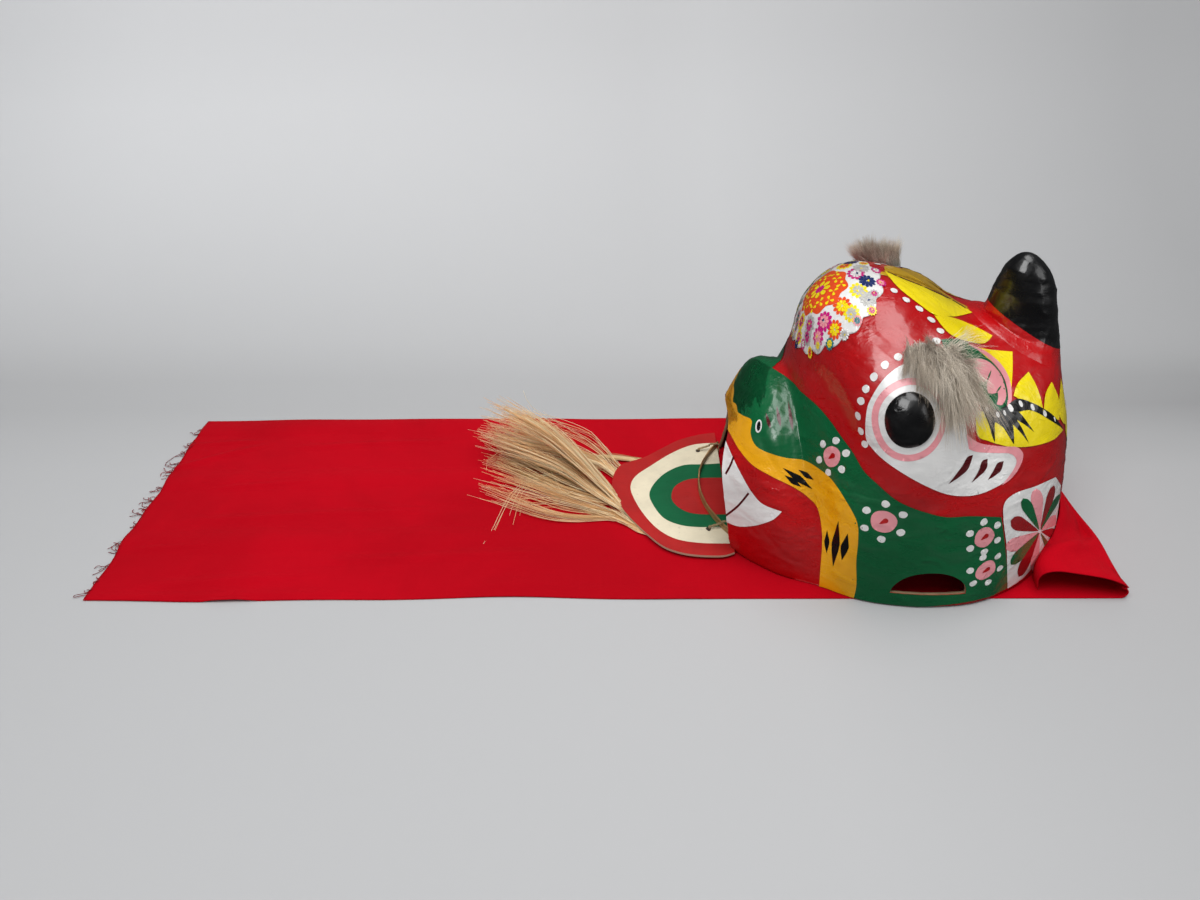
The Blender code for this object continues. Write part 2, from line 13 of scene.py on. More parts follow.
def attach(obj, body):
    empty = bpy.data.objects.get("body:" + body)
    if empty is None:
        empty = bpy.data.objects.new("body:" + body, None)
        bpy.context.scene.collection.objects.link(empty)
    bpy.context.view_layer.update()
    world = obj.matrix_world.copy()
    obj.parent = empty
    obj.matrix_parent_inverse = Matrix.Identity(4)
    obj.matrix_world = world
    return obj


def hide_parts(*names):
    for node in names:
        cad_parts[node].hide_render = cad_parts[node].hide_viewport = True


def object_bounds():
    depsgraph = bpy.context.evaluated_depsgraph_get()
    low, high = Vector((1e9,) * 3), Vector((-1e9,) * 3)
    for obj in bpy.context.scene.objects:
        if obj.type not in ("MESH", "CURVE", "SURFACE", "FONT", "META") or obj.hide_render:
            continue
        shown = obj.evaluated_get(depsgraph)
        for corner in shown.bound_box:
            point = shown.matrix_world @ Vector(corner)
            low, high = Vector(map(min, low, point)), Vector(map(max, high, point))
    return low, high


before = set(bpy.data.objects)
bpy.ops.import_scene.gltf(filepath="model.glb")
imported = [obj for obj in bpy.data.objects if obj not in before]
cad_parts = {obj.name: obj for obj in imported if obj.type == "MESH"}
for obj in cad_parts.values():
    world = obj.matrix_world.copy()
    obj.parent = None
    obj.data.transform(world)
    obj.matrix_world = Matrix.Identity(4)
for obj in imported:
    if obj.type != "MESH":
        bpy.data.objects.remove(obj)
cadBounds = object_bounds()
bpy.ops.object.select_all(action="DESELECT")
rng = np.random.default_rng(11)

view = {
    "place": (-0.235, -0.622, 0.470),
    "turn": (55.92, 0.811, 0.721),       # degrees about X, Y and Z
    "lens": 27.03,                       # mm, on a sensor 36 mm wide
    "sensor": 36.0,
    "image": (1200, 900),                # pixels of the photograph's frame
}


angles = [math.radians(a) for a in view["turn"]]
turned = Euler(angles).to_matrix()
focal = view["lens"] / view["sensor"] * view["image"][0]


def makeCamera():
    data = bpy.data.cameras.new("camera")
    data.lens = view["lens"]
    data.sensor_width = view["sensor"]
    camera = bpy.data.objects.new("camera", data)
    camera.location = view["place"]
    camera.rotation_euler = angles
    bpy.context.scene.collection.objects.link(camera)
    bpy.context.scene.camera = camera


def pixelRay(across, down):
    # Direction from the camera through a pixel of the 1200 x 900 frame
    away = Vector((across - view["image"][0] / 2, view["image"][1] / 2 - down, -focal))
    return (turned @ away).normalized()


def pixelAt(across, down, height):
    # Where the line of sight through a pixel is that high above the floor
    ray = pixelRay(across, down)
    return Vector(view["place"]) + ray * ((height - view["place"][2]) / ray.z)


def pixelsOf(places):
    # Pixels of the frame where places are seen
    away = (np.asarray(places) - np.array(view["place"])) @ np.array(turned)
    return np.stack([view["image"][0] / 2 - focal * away[:, 0] / away[:, 2],
                     view["image"][1] / 2 + focal * away[:, 1] / away[:, 2]], axis=1)


makeCamera()
print("camera placed")


def unit(arrows):
    # Arrows made 1 long
    return arrows / np.maximum(np.linalg.norm(arrows, axis=-1), 1e-9)[..., None]


def curveAt(a, b, c, d, t):
    # A smooth curve from b to c, with a before it and d after it
    return b + 0.5 * t * (c - a + t * (2 * a - 5 * b + 4 * c - d + t * (3 * (b - c) + d - a)))


def sharePast(values, start, width):
    # How far values are past a start, from 0 to 1 over a width; a negative width counts downwards
    return np.clip((values - start) / width, 0.0, 1.0)


def eased(share):
    return share * share * (3 - 2 * share)


def waves(table, x, y):
    # Rows of height, turns for each metre of X and of Y, and phase
    return sum(height * np.sin(y * alongY + x * alongX + phase) for height, alongX, alongY, phase in table)


def runsAlong(path):
    return np.concatenate([[0], np.cumsum(np.linalg.norm(np.diff(path, axis=0), axis=1))])


finishes = {}


class Field:
    # A shader value: + - * on it add Math nodes
    def __init__(self, finish, socket):
        self.finish, self.socket = finish, socket

    def math(self, operation, first, second):
        return self.finish.node("ShaderNodeMath", {"operation": operation}, {0: first, 1: second})

    def __add__(self, other):
        return self.math("ADD", self, other)

    __radd__ = __add__

    def __rsub__(self, other):
        return self.math("SUBTRACT", other, self)

    def __mul__(self, other):
        return self.math("MULTIPLY", self, other)

    __rmul__ = __mul__


class Finish:
    # One material, and the few patterns that the finishes here share
    def __init__(self, name, **constants):
        self.material = bpy.data.materials.new(name)
        self.material.use_nodes = True
        finishes[name] = self.material
        self.tree = self.material.node_tree
        self.shader = self.tree.nodes["Principled BSDF"]
        for socket, value in constants.items():
            self.shader.inputs[socket.replace("_", " ").title()].default_value = value

    def node(self, kind, settings=None, sockets=None, output=0):
        made = self.tree.nodes.new(kind)
        for key, value in (settings or {}).items():
            setattr(made, key, value)
        for key, value in (sockets or {}).items():
            if isinstance(value, Field):
                self.tree.links.new(value.socket, made.inputs[key])
            else:
                made.inputs[key].default_value = value
        return Field(self, made.outputs[output])

    def link(self, socket, field):
        self.tree.links.new(field.socket, self.shader.inputs[socket])

    def places(self, stretch=(1, 1, 1), turn=(0, 0, 0), uv=False):
        source = self.node("ShaderNodeTexCoord", output=2 if uv else 3)
        return self.node("ShaderNodeMapping", {}, {"Vector": source, "Scale": stretch,
                                                   "Rotation": [math.radians(a) for a in turn]})

    def noise(self, scale, detail=3.0, rough=0.5, bend=0.0, places=None, kind="FBM"):
        return self.node("ShaderNodeTexNoise", {"noise_type": kind},
                         {"Vector": places or self.places(), "Scale": scale, "Detail": detail,
                          "Roughness": rough, "Distortion": bend})

    def ramp(self, field, low, high):
        # 0 below low, 1 above high
        return self.node("ShaderNodeMapRange", {"interpolation_type": "SMOOTHSTEP"},
                         {"Value": field, "From Min": low, "From Max": high})

    def mix(self, factor, first, second):
        tones = {6: first, 7: second}
        tones = {k: v if isinstance(v, Field) else (*v, 1.0)[:4] for k, v in tones.items()}
        return self.node("ShaderNodeMix", {"data_type": "RGBA"}, {0: factor, **tones}, output=2)

    def attribute(self, name):
        return self.node("ShaderNodeAttribute", {"attribute_name": name}, output=2)

    def bump(self, height, distance, strength):
        sockets = {"Height": height, "Distance": distance, "Strength": strength}
        self.link("Normal", self.node("ShaderNodeBump", {}, sockets))


ridged = "RIDGED_MULTIFRACTAL"


def shade(tone, factor):
    return tuple(min(c * factor, 1.0) for c in tone)


lacquer = {
    "red": (0.47, 0.0015, 0.0035),
    "green": (0.0010, 0.120, 0.036),
    "gold": (0.86, 0.40, 0.0015),
    "yellow": (0.95, 0.74, 0.001),
    "white": (0.80, 0.79, 0.77),
    "pink": (0.86, 0.33, 0.36),
    "darkRed": (0.085, 0.003, 0.005),
    "rosetteRed": (0.30, 0.006, 0.008),
    "black": (0.0035, 0.0035, 0.0040),
    # A darker yellow: painted shade for the yellow leaves on the far flank and along the crest
    "shadedYellow": (0.62, 0.36, 0.004),
    "navy": (0.010, 0.025, 0.13),
    "teal": (0.008, 0.20, 0.23),
    "magenta": (0.60, 0.006, 0.20),
    "orange": (0.82, 0.075, 0.010),
    "paleGrey": (0.50, 0.49, 0.46),
}


def lacquerFinish(name, scuffs):
    # Brushed gloss paint on crumpled paper: uneven coat, creases, pale scuffs on the creases
    tone = lacquer[name]
    finish = Finish("lacquer_" + name, roughness=0.3, coat_roughness=0.10)
    clouds = finish.noise(14.0, 4.0, 0.55)
    streaks = finish.noise(30.0, 4.0, 0.6, 0.6, finish.places((1.0, 1.0, 3.2), (24, 35, 0)))
    creases = finish.noise(38.0, 3.0, 0.5, 1.4, finish.places((1.0, 0.8, 1.5), (30, 0, 20)), ridged)
    crinkles = finish.noise(110.0, 3.0, 0.55, 1.8, finish.places((1.0, 1.3, 0.9), (0, 40, 10)), ridged)
    grain = finish.noise(520.0, 2.0, 0.5)
    crinkled = finish.ramp(finish.noise(16.0, 2.0, 0.5), 0.44, 0.60)
    specks = finish.noise(230.0, 2.0, 0.5, 1.2, None, ridged)
    worn = finish.ramp(creases, 1.05, 1.75) * finish.ramp(clouds, 0.48, 0.68)
    colour = finish.mix(finish.ramp(clouds, 0.30, 0.72), shade(tone, 0.80), shade(tone, 1.10))
    colour = finish.mix(finish.ramp(streaks, 0.52, 0.78) * 0.22, colour, tuple(0.92 * c + 0.035 for c in tone))
    pale = tuple(0.45 * c + 0.42 for c in tone)
    finish.link("Base Color", finish.mix(worn * scuffs * 2.2, colour, pale))
    finish.link("Roughness", 0.24 + finish.ramp(streaks, 0.30, 0.75) * 0.16 + worn * 0.20)
    finish.link("Coat Weight", 0.55 - finish.ramp(clouds, 0.45, 0.8) * 0.30)
    height = creases * 0.60 + streaks * 0.25 + (crinkles * 0.40 + specks * 0.16) * crinkled + grain * 0.03
    finish.bump(height, 0.0019, 0.85)


def rawPaperFinish():
    finish = Finish("rawPaper", roughness=0.85)
    blots = finish.noise(24.0, 5.0, 0.6, 0.8)
    layers = finish.noise(8.0, 2.0, 0.5, 0.0, finish.places((14.0, 14.0, 60.0)))
    colour = finish.mix(finish.ramp(blots, 0.3, 0.7), (0.20, 0.115, 0.055), (0.36, 0.24, 0.13))
    finish.link("Base Color", finish.mix(layers * 0.5, colour, (0.13, 0.07, 0.04)))
    finish.bump(blots + layers * 0.5, 0.0006, 0.6)


def insideFinish():
    # The inside of the head: unpainted paper layers, made near black as painted shade of the hollow head
    finish = Finish("insidePaperShade", roughness=0.9)
    blots = finish.noise(18.0, 5.0, 0.6, 1.2)
    strips = finish.noise(26.0, 1.0, 0.4, 0.5, finish.places((1.0, 2.5, 0.7), (0, 30, 40)))
    colour = finish.mix(finish.ramp(blots, 0.3, 0.7), (0.030, 0.020, 0.015), (0.085, 0.058, 0.040))
    edges = finish.ramp(strips, 0.50, 0.54)
    finish.link("Base Color", finish.mix(edges * 0.4, colour, (0.12, 0.09, 0.065)))
    finish.bump(blots * 0.5 + edges * 0.5, 0.0008, 0.6)


def clothFinish():
    finish = Finish("redCotton", roughness=0.85)
    finish.shader.inputs["Specular IOR Level"].default_value = 0.06
    clouds = finish.noise(5.0, 4.0, 0.6, 0.5)
    slubs = finish.noise(40.0, 4.0, 0.7, 0.0, finish.places((0.4, 14.0, 1.0), uv=True))
    weftSlubs = finish.noise(40.0, 4.0, 0.7, 0.0, finish.places((14.0, 0.4, 1.0), uv=True))
    grid = finish.places(uv=True)
    warp, weft = (finish.node("ShaderNodeTexWave", {"wave_type": "BANDS", "bands_direction": direction},
                              {"Vector": grid, "Scale": 420.0, "Distortion": 0.4, "Detail": 1.0}, output)
                  for output, direction in enumerate("XY"))
    crumples = finish.noise(26.0, 3.0, 0.55, 1.6, None, ridged)
    tones = finish.mix(finish.ramp(clouds, 0.30, 0.72), (0.40, 0.0006, 0.0065), (0.50, 0.0010, 0.0090))
    tones = finish.mix(finish.ramp(slubs, 0.55, 0.75) * 0.35, tones, (0.33, 0.0005, 0.006))
    finish.link("Base Color", finish.mix(finish.ramp(weftSlubs, 0.55, 0.78) * 0.20, tones, (0.57, 0.006, 0.014)))
    finish.link("Roughness", 0.80 + clouds * 0.15)
    finish.bump(warp * weft * 0.20 + slubs * 0.16 + weftSlubs * 0.12 + crumples * 0.22, 0.0010, 0.45)


def strandFinish(name, root, tip, bright, rough, sheen=0.0):
    # Hair and fibre: tone from root to tip, and a tint of its own for each strand
    finish = Finish(name, roughness=rough, sheen_weight=sheen)
    along, tint = finish.attribute("along"), finish.attribute("tint")
    colour = finish.mix(along, root, tip)
    finish.link("Base Color", finish.mix(finish.ramp(tint, 0.25, 0.90) * 0.85, colour, bright))
    finish.link("Roughness", rough - 0.1 + finish.noise(900.0, 2.0) * 0.2)


def boardFinish():
    finish = Finish("cardboard", roughness=0.8)
    fibres = finish.noise(120.0, 4.0, 0.6)
    plies = finish.noise(4.0, 1.0, 0.5, 0.0, finish.places((20.0, 20.0, 900.0)))
    colour = finish.mix(fibres, (0.50, 0.40, 0.27), (0.66, 0.56, 0.40))
    finish.link("Base Color", finish.mix(plies * 0.4, colour, (0.36, 0.27, 0.17)))
    finish.bump(fibres + plies, 0.0003, 0.5)


def boardPaintFinish(name, tone, rough=0.42):
    finish = Finish("board_" + name, roughness=rough)
    clouds = finish.noise(22.0, 4.0, 0.6)
    strokes = finish.noise(60.0, 3.0, 0.6, 0.8, finish.places((1.0, 4.0, 1.0), (0, 0, 20)))
    specks = finish.noise(260.0, 3.0, 0.7)
    colour = finish.mix(finish.ramp(clouds, 0.3, 0.7), shade(tone, 0.86), shade(tone, 1.08))
    finish.link("Base Color", finish.mix(finish.ramp(specks, 0.62, 0.70) * 0.5, colour, shade(tone, 0.62)))
    finish.link("Roughness", rough - 0.08 + strokes * 0.2)
    finish.bump(strokes * 0.6 + specks * 0.2, 0.0004, 0.5)


def bambooFinish():
    finish = Finish("bamboo", roughness=0.42, coat_roughness=0.2)
    fibres = finish.noise(40.0, 5.0, 0.6, 0.2, finish.places((30.0, 1.2, 1.0), uv=True))
    clouds = finish.noise(9.0, 3.0, 0.5, 0.4, finish.places(uv=True))
    colour = finish.mix(finish.ramp(fibres, 0.35, 0.68), (0.17, 0.075, 0.024), (0.46, 0.27, 0.11))
    finish.link("Base Color", finish.mix(finish.ramp(clouds, 0.45, 0.75) * 0.6, colour, (0.30, 0.19, 0.06)))
    finish.link("Roughness", 0.32 + fibres * 0.25)
    finish.bump(fibres, 0.0004, 0.5)


def stringFinish():
    finish = Finish("string", roughness=0.8)
    fuzz = finish.noise(700.0, 3.0, 0.6)
    finish.link("Base Color", finish.mix(fuzz, (0.20, 0.13, 0.06), (0.52, 0.38, 0.20)))
    finish.bump(fuzz, 0.0002, 0.6)


def floorFinish():
    # Paper backdrop, lighter or darker as the painted light and shade in its "shade" attribute says
    finish = Finish("studioFloor", roughness=0.8)
    finish.link("Base Color", finish.mix(finish.attribute("shade"), (0.20, 0.20, 0.202), (0.82, 0.825, 0.83)))


for tone in lacquer:
    lacquerFinish(tone, 0.05 if tone in ("white", "pink", "yellow", "gold") else 0.12)
rawPaperFinish()
insideFinish()
clothFinish()
strandFinish("greyFur", (0.25, 0.20, 0.15), (0.48, 0.40, 0.31), (0.88, 0.79, 0.66), 0.75, 0.1)
strandFinish("hempFibre", (0.74, 0.42, 0.17), (1.0, 0.66, 0.33), (1.0, 0.90, 0.62), 0.5)
# A darker copy of the hemp: painted shade for the low locks that lie flat
strandFinish("hempShade", (0.52, 0.34, 0.14), (0.72, 0.50, 0.24), (0.92, 0.70, 0.40), 0.6)
strandFinish("redThread", (0.20, 0.002, 0.006), (0.24, 0.004, 0.010), (0.42, 0.03, 0.04), 0.8)
boardFinish()
boardPaintFinish("red", (0.45, 0.008, 0.007))
boardPaintFinish("cream", (0.78, 0.69, 0.50), 0.6)
boardPaintFinish("green", (0.001, 0.125, 0.043))
bambooFinish()
stringFinish()
floorFinish()
print("finishes made")


def newMesh(name, points, faces, material, body="root", smooth=True):
    # points is an array of places, faces an array or list of corner numbers
    mesh = bpy.data.meshes.new(name)
    if isinstance(faces, np.ndarray):
        corners = faces.shape[1]
        mesh.vertices.add(len(points))
        mesh.vertices.foreach_set("co", np.asarray(points, dtype=np.float32).ravel())
        mesh.loops.add(faces.size)
        mesh.loops.foreach_set("vertex_index", faces.astype(np.int32).ravel())
        mesh.polygons.add(len(faces))
        mesh.polygons.foreach_set("loop_start", np.arange(0, faces.size, corners, dtype=np.int32))
        mesh.update(calc_edges=True)
    else:
        mesh.from_pydata([tuple(p) for p in points], [], faces)
    mesh.polygons.foreach_set("use_smooth", [smooth] * len(mesh.polygons))
    mesh.materials.append(material)
    mesh.validate()
    made = bpy.data.objects.new(name, mesh)
    bpy.context.scene.collection.objects.link(made)
    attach(made, body)
    return made


def selectOnly(made):
    bpy.ops.object.select_all(action="DESELECT")
    bpy.context.view_layer.objects.active = made
    made.select_set(True)


def tidyNormals(made, merge=0.0):
    selectOnly(made)
    bpy.ops.object.mode_set(mode="EDIT")
    bpy.ops.mesh.select_all(action="SELECT")
    if merge:
        bpy.ops.mesh.remove_doubles(threshold=merge)
    bpy.ops.mesh.normals_make_consistent(inside=False)
    bpy.ops.object.mode_set(mode="OBJECT")
    made.select_set(False)


def applyModifiers(made):
    selectOnly(made)
    for modifier in list(made.modifiers):
        bpy.ops.object.modifier_apply(modifier=modifier.name)
    made.select_set(False)


def addWall(made, thickness, offset=-1.0):
    wall = made.modifiers.new("wall", "SOLIDIFY")
    wall.thickness, wall.offset = thickness, offset
    return wall


def addCut(made, cutter):
    hole = made.modifiers.new("hole", "BOOLEAN")
    hole.operation, hole.solver, hole.object = "DIFFERENCE", "EXACT", cutter
    return hole


# The head is a row of arched sections from the mouth to the back. rim and top are places along
# X in shares of the length, width is a share of the half width and height of the height.
head = {
    "length": 0.272,
    "width": 0.272,
    "height": 0.212,
    "wall": 0.0025,
    "rim": 0.0013,
    "lipSwell": 0.033,           # shares of the length
    "lipBack": 0.024,
    "rowsPerSection": 12,
    "columns": 192,
}
sections = np.array([
    # rim, width, top, height, squareness
    (-0.518, 0.544, -0.532, 0.400, 2.4),    # mouth
    (-0.489, 0.610, -0.505, 0.480, 2.2),    # lip
    (-0.452, 0.676, -0.471, 0.550, 2.15),   # nose front
    (-0.408, 0.743, -0.435, 0.584, 1.95),   # nose top
    (-0.362, 0.787, -0.399, 0.590, 1.75),   # nose ledge
    (-0.325, 0.816, -0.375, 0.615, 1.6),    # stop
    (-0.285, 0.853, -0.359, 0.735, 1.6),    # brow front
    (-0.255, 0.890, -0.328, 0.865, 1.75),   # brow
    (-0.205, 0.941, -0.246, 0.945, 2.05),   # forehead
    (-0.136, 0.978, -0.143, 0.955, 2.2),    # forehead back
    (-0.033, 1.000, -0.033, 0.910, 2.2),    # crown
    (0.085, 0.980, 0.085, 0.828, 2.2),      # valley
    (0.187, 0.900, 0.199, 0.790, 2.1),      # horn seat
    (0.280, 0.775, 0.301, 0.755, 2.0),      # nape
    (0.363, 0.590, 0.373, 0.625, 2.0),      # back top
    (0.423, 0.400, 0.415, 0.410, 2.0),      # back
    (0.464, 0.205, 0.456, 0.195, 2.0),      # low back
    (0.481, 0.000, 0.481, 0.000, 2.0),      # back rim
])
reliefs = {
    # along, up, half length, half height, tilt in degrees, lift
    "eyeMound": (-0.115, 0.640, 0.215, 0.270, -25, 0.0085),
    "pupilSeat": (-0.138, 0.685, 0.085, 0.112, 0, 0.0030),
    "ear": (0.030, 0.800, 0.150, 0.085, -42, 0.0055),
    "earRim": (0.062, 0.782, 0.118, 0.040, -47, 0.0016),
    "muzzleRidge": (-0.330, 0.420, 0.190, 0.130, -50, 0.0035),
    "cheekCrease": (-0.275, 0.600, 0.190, 0.075, -52, -0.0040),
    "nostril": (-0.436, 0.455, 0.030, 0.050, 10, 0.0018),
    "lowCheek": (-0.400, 0.250, 0.070, 0.150, 0, 0.0012),
}
crumples = (
    # wave length, height of the crease, three parts of its direction, phase
    (0.026, 0.00034, (0.5, 0.3, 0.8), 0.4),
    (0.019, 0.00028, (0.9, -0.2, -0.4), 1.7),
    (0.013, 0.00018, (-0.3, 0.8, 0.6), 2.9),
    (0.009, 0.00010, (0.7, 0.6, -0.5), 0.9),
)
gridRows = (len(sections) - 1) * head["rowsPerSection"]
gridColumns = head["columns"]


def sectionValues(position):
    last = len(sections) - 1
    index = np.clip(position.astype(int), 0, last - 1)
    t = (position - index)[:, None]
    a, b, c, d = (sections[np.clip(index + k, 0, last)] for k in (-1, 0, 1, 2))
    values = curveAt(a, b, c, d, t)
    values[:, (1, 3)] = np.maximum(values[:, (1, 3)], 0.0)
    return values


def archPoints(rows, columns):
    # rows and columns count in cells of the skin's grid
    rim, width, top, height, square = sectionValues(rows / head["rowsPerSection"]).T
    angle = np.pi * columns / gridColumns
    power = 2.0 / square
    cosine = np.cos(angle)
    across = -np.sign(cosine) * np.abs(cosine) ** power
    up = np.maximum(np.sin(angle), 0.0) ** power
    along = rim + (top - rim) * up * up
    # The lip swells forward over the level rim on the near side, and falls back on the far one
    swell = np.clip(1.0 - rows / (2.6 * head["rowsPerSection"]), 0.0, 1.0)
    profile = (0.62 + 0.85 * up) * (1.0 - np.exp(-up / 0.06)) * np.maximum(1.0 - up ** 10, 0.0) ** 0.7
    nearness = np.clip(0.15 - across * 1.1, 0.0, 1.0)
    farness = np.clip(across * 1.6 - 0.10, 0.0, 1.0)
    forward = head["lipSwell"] * nearness * profile - head["lipBack"] * farness * np.sin(np.pi * up)
    along = along - forward * swell
    return np.stack([along * head["length"], across * width * head["width"] / 2,
                     head["rim"] + up * height * head["height"]], axis=1)


def reliefLift(points):
    lift = np.zeros(len(points))
    for along, up, length, height, tilt, amount in reliefs.values():
        east = points[:, 0] - along * head["length"]
        north = points[:, 2] - head["rim"] - up * head["height"]
        turn = math.radians(tilt)
        forward = (east * math.cos(turn) + north * math.sin(turn)) / (length * head["length"])
        square = (north * math.cos(turn) - east * math.sin(turn)) / (height * head["height"])
        lift += amount * np.maximum(1.0 - forward ** 2 - square ** 2, 0.0) ** 1.5
    return lift * np.minimum(np.abs(points[:, 1]) / (0.22 * head["width"]), 1.0) ** 2


def crumpleLift(points):
    lift = np.zeros(len(points))
    for size, amount, direction, phase in crumples:
        direction = np.array(direction) / np.linalg.norm(direction)
        side = np.roll(direction, 1)
        bend = 1.3 * np.sin(points @ side * 2.1 / size + phase * 3)
        wave = np.sin(points @ direction * 6.28 / size + phase + bend)
        patch = 0.5 + 0.5 * np.sin(points @ np.roll(direction, 2) * 1.7 / size + phase)
        lift += amount * patch * ((1.0 - np.abs(wave)) ** 2 - 0.3)
    # The rim stays level where it stands on the cloth
    return lift * np.clip((points[:, 2] - 0.004) / 0.010, 0.0, 1.0)


def skinPoints(rows, columns, lift=0.0):
    rows, columns = np.asarray(rows, dtype=float), np.asarray(columns, dtype=float)
    last = gridRows - 0.02
    held = np.minimum(rows, last)
    places = archPoints(rows, columns)
    ahead, behind = np.minimum(held + 0.6, last), np.maximum(held - 0.6, 0)
    alongway = archPoints(ahead, columns) - archPoints(behind, columns)
    around = (archPoints(held, np.minimum(columns + 0.5, gridColumns))
              - archPoints(held, np.maximum(columns - 0.5, 0)))
    relief = reliefLift(places) + crumpleLift(places)
    relief[rows > last] = 0.0
    return places + unit(np.cross(alongway, around)) * (relief + lift)[:, None]


def gridFaces(rows, columns):
    # Quads of a grid with that many cells each way
    r, c = np.meshgrid(np.arange(rows), np.arange(columns), indexing="ij")
    first = (r * (columns + 1) + c).ravel()
    return np.stack([first, first + columns + 1, first + columns + 2, first + 1], axis=1)


cellRows, cellColumns = np.meshgrid(np.arange(gridRows + 1), np.arange(gridColumns + 1), indexing="ij")
skinGrid = skinPoints(cellRows.ravel(), cellColumns.ravel())
skinQuads = gridFaces(gridRows, gridColumns)
treeFaces = np.concatenate([skinQuads[:, (0, 1, 2)], skinQuads[:, (0, 2, 3)]])
skinTree = BVHTree.FromPolygons([Vector(p) for p in skinGrid], treeFaces.tolist())


def chartOf(start, direction):
    # Where a ray meets the skin, as (row, column) of its grid
    place, _, index, _ = skinTree.ray_cast(Vector(start), Vector(direction))
    if place is None:
        return None
    corners = treeFaces[index]
    columns = gridColumns + 1
    flat = [Vector((c // columns, c % columns, 0.0)) for c in corners.tolist()]
    found = barycentric_transform(place, *(Vector(skinGrid[c]) for c in corners), *flat)
    return found.x, found.y


# Chart places along the mouth's edge and the near rim, with the pixels where they are seen
edgeChart = np.array([(0.0, c) for c in np.arange(0, gridColumns * 0.55, 0.5)]
                     + [(r, 0.0) for r in np.arange(0, gridRows - 1, 0.5)])
edgePixels = pixelsOf(skinPoints(edgeChart[:, 0], edgeChart[:, 1]))
edgeReach = 16.0               # pixels
sampleRay = pixelRay(900, 560)
outward = -math.copysign(1.0, skinTree.ray_cast(Vector(view["place"]), sampleRay)[1].dot(sampleRay))


def chartOfPixel(pixel, towards):
    # The outside of the skin at a pixel. Past its edge it is the nearest place on the edge, and
    # past its outline the first place on the way to another pixel.
    for share in np.linspace(0.0, 0.9, 46):
        spot = np.array(pixel) * (1.0 - share) + np.array(towards) * share
        ray = pixelRay(*spot)
        normal = skinTree.ray_cast(Vector(view["place"]), ray)[1]
        if normal is not None and normal.dot(ray) * outward < 0:
            return chartOf(view["place"], ray)
        if share == 0.0:
            away = np.linalg.norm(edgePixels - spot, axis=1)
            if away.min() < edgeReach:
                return tuple(edgeChart[away.argmin()])
    return None


grip = {
    "x": -0.0090,
    "width": 0.054,
    "height": 0.020,
    "sill": 0.0115,            # above the rim
    "cut": (0.36, 0.60),       # reach of its cutter to each side, shares of the head's width
}


def gripOutline(grow=0.0, steps=26):
    half, tall = grip["width"] / 2 + grow, grip["height"] + grow
    sill = head["rim"] + grip["sill"] - grow
    return [(grip["x"] + half * math.cos(math.pi * s / steps), sill + tall * math.sin(math.pi * s / steps))
            for s in range(steps + 1)]


def makeSkin():
    skin = newMesh("painted_skin", skinGrid, skinQuads[:, ::-1], finishes["lacquer_red"], "root")
    # The inner wall takes the inside paper with its painted shade, the rim takes raw paper
    for layered in ("insidePaperShade", "rawPaper"):
        skin.data.materials.append(finishes[layered])
    tidyNormals(skin, 0.00002)
    facing = sum(p.normal.z * p.area for p in skin.data.polygons)
    wall = addWall(skin, head["wall"], -1.0 if facing > 0 else 1.0)
    wall.material_offset, wall.material_offset_rim = 1, 2
    cutters = []
    outline = gripOutline()
    count = len(outline)
    for side in (-1, 1):
        points = [(x, side * y * head["width"], z) for y in grip["cut"] for x, z in outline]
        faces = [tuple(range(count)), tuple(range(2 * count - 1, count - 1, -1))]
        faces += [(i, i + count, (i + 1) % count + count, (i + 1) % count) for i in range(count)]
        cutter = newMesh("grip_cutter", points, faces, finishes["rawPaper"])
        tidyNormals(cutter)
        addCut(skin, cutter).material_mode = "TRANSFER"
        cutters.append(cutter)
    applyModifiers(skin)
    for cutter in cutters:
        bpy.data.objects.remove(cutter, do_unlink=True)
    rimBand = head["rim"] + 0.0002
    for polygon in skin.data.polygons:
        if all(skin.data.vertices[v].co.z < rimBand for v in polygon.vertices):
            polygon.material_index = 2
    # The rim is trimmed level, as on the solid
    for vertex in skin.data.vertices:
        if vertex.co.z < head["rim"] + 0.0012:
            vertex.co.z = head["rim"]
    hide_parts("head_shell")


makeSkin()
print("skin made")


def smoothOutline(points, closed=True, step=1.6):
    # A curve through points (x, y); a third value marks a sharp corner
    count = len(points)
    places = np.array([p[:2] for p in points], dtype=float)
    sharp = [len(p) > 2 for p in points]
    spans = count if closed else count - 1
    outline = []
    for i in range(spans):
        j = (i + 1) % count
        before = places[i] if sharp[i] or (not closed and i == 0) else places[i - 1]
        after = places[j] if sharp[j] or (not closed and j == count - 1) else places[(j + 1) % count]
        pieces = max(int(np.linalg.norm(places[j] - places[i]) / step), 1)
        outline += [curveAt(before, places[i], places[j], after, k / pieces) for k in range(pieces)]
    if not closed:
        outline.append(places[-1])
    return outline


def insideOutlines(points, loops):
    inside = np.zeros(len(points), dtype=bool)
    x, y = points[:, 0], points[:, 1]
    for loop in loops:
        loop = np.asarray(loop)
        for (x0, y0), (x1, y1) in zip(loop, np.roll(loop, -1, axis=0)):
            if y0 == y1:
                continue
            crosses = (y0 > y) != (y1 > y)
            inside ^= crosses & (x < (x1 - x0) * (y - y0) / (y1 - y0) + x0)
    return inside


def gridCrossings(loop):
    # The loop with points added wherever it crosses a line of the skin's grid
    fine = []
    for first, second in zip(loop, loop[1:] + loop[:1]):
        first, second = np.asarray(first, dtype=float), np.asarray(second, dtype=float)
        cuts = {0.0}
        for axis in (0, 1):
            low, high = sorted((first[axis], second[axis]))
            for line in range(math.ceil(low), math.floor(high) + 1):
                if high > low:
                    cuts.add((line - first[axis]) / (second[axis] - first[axis]))
        fine += [first + (second - first) * t for t in sorted(c for c in cuts if 0.0 <= c < 0.999)]
    return fine


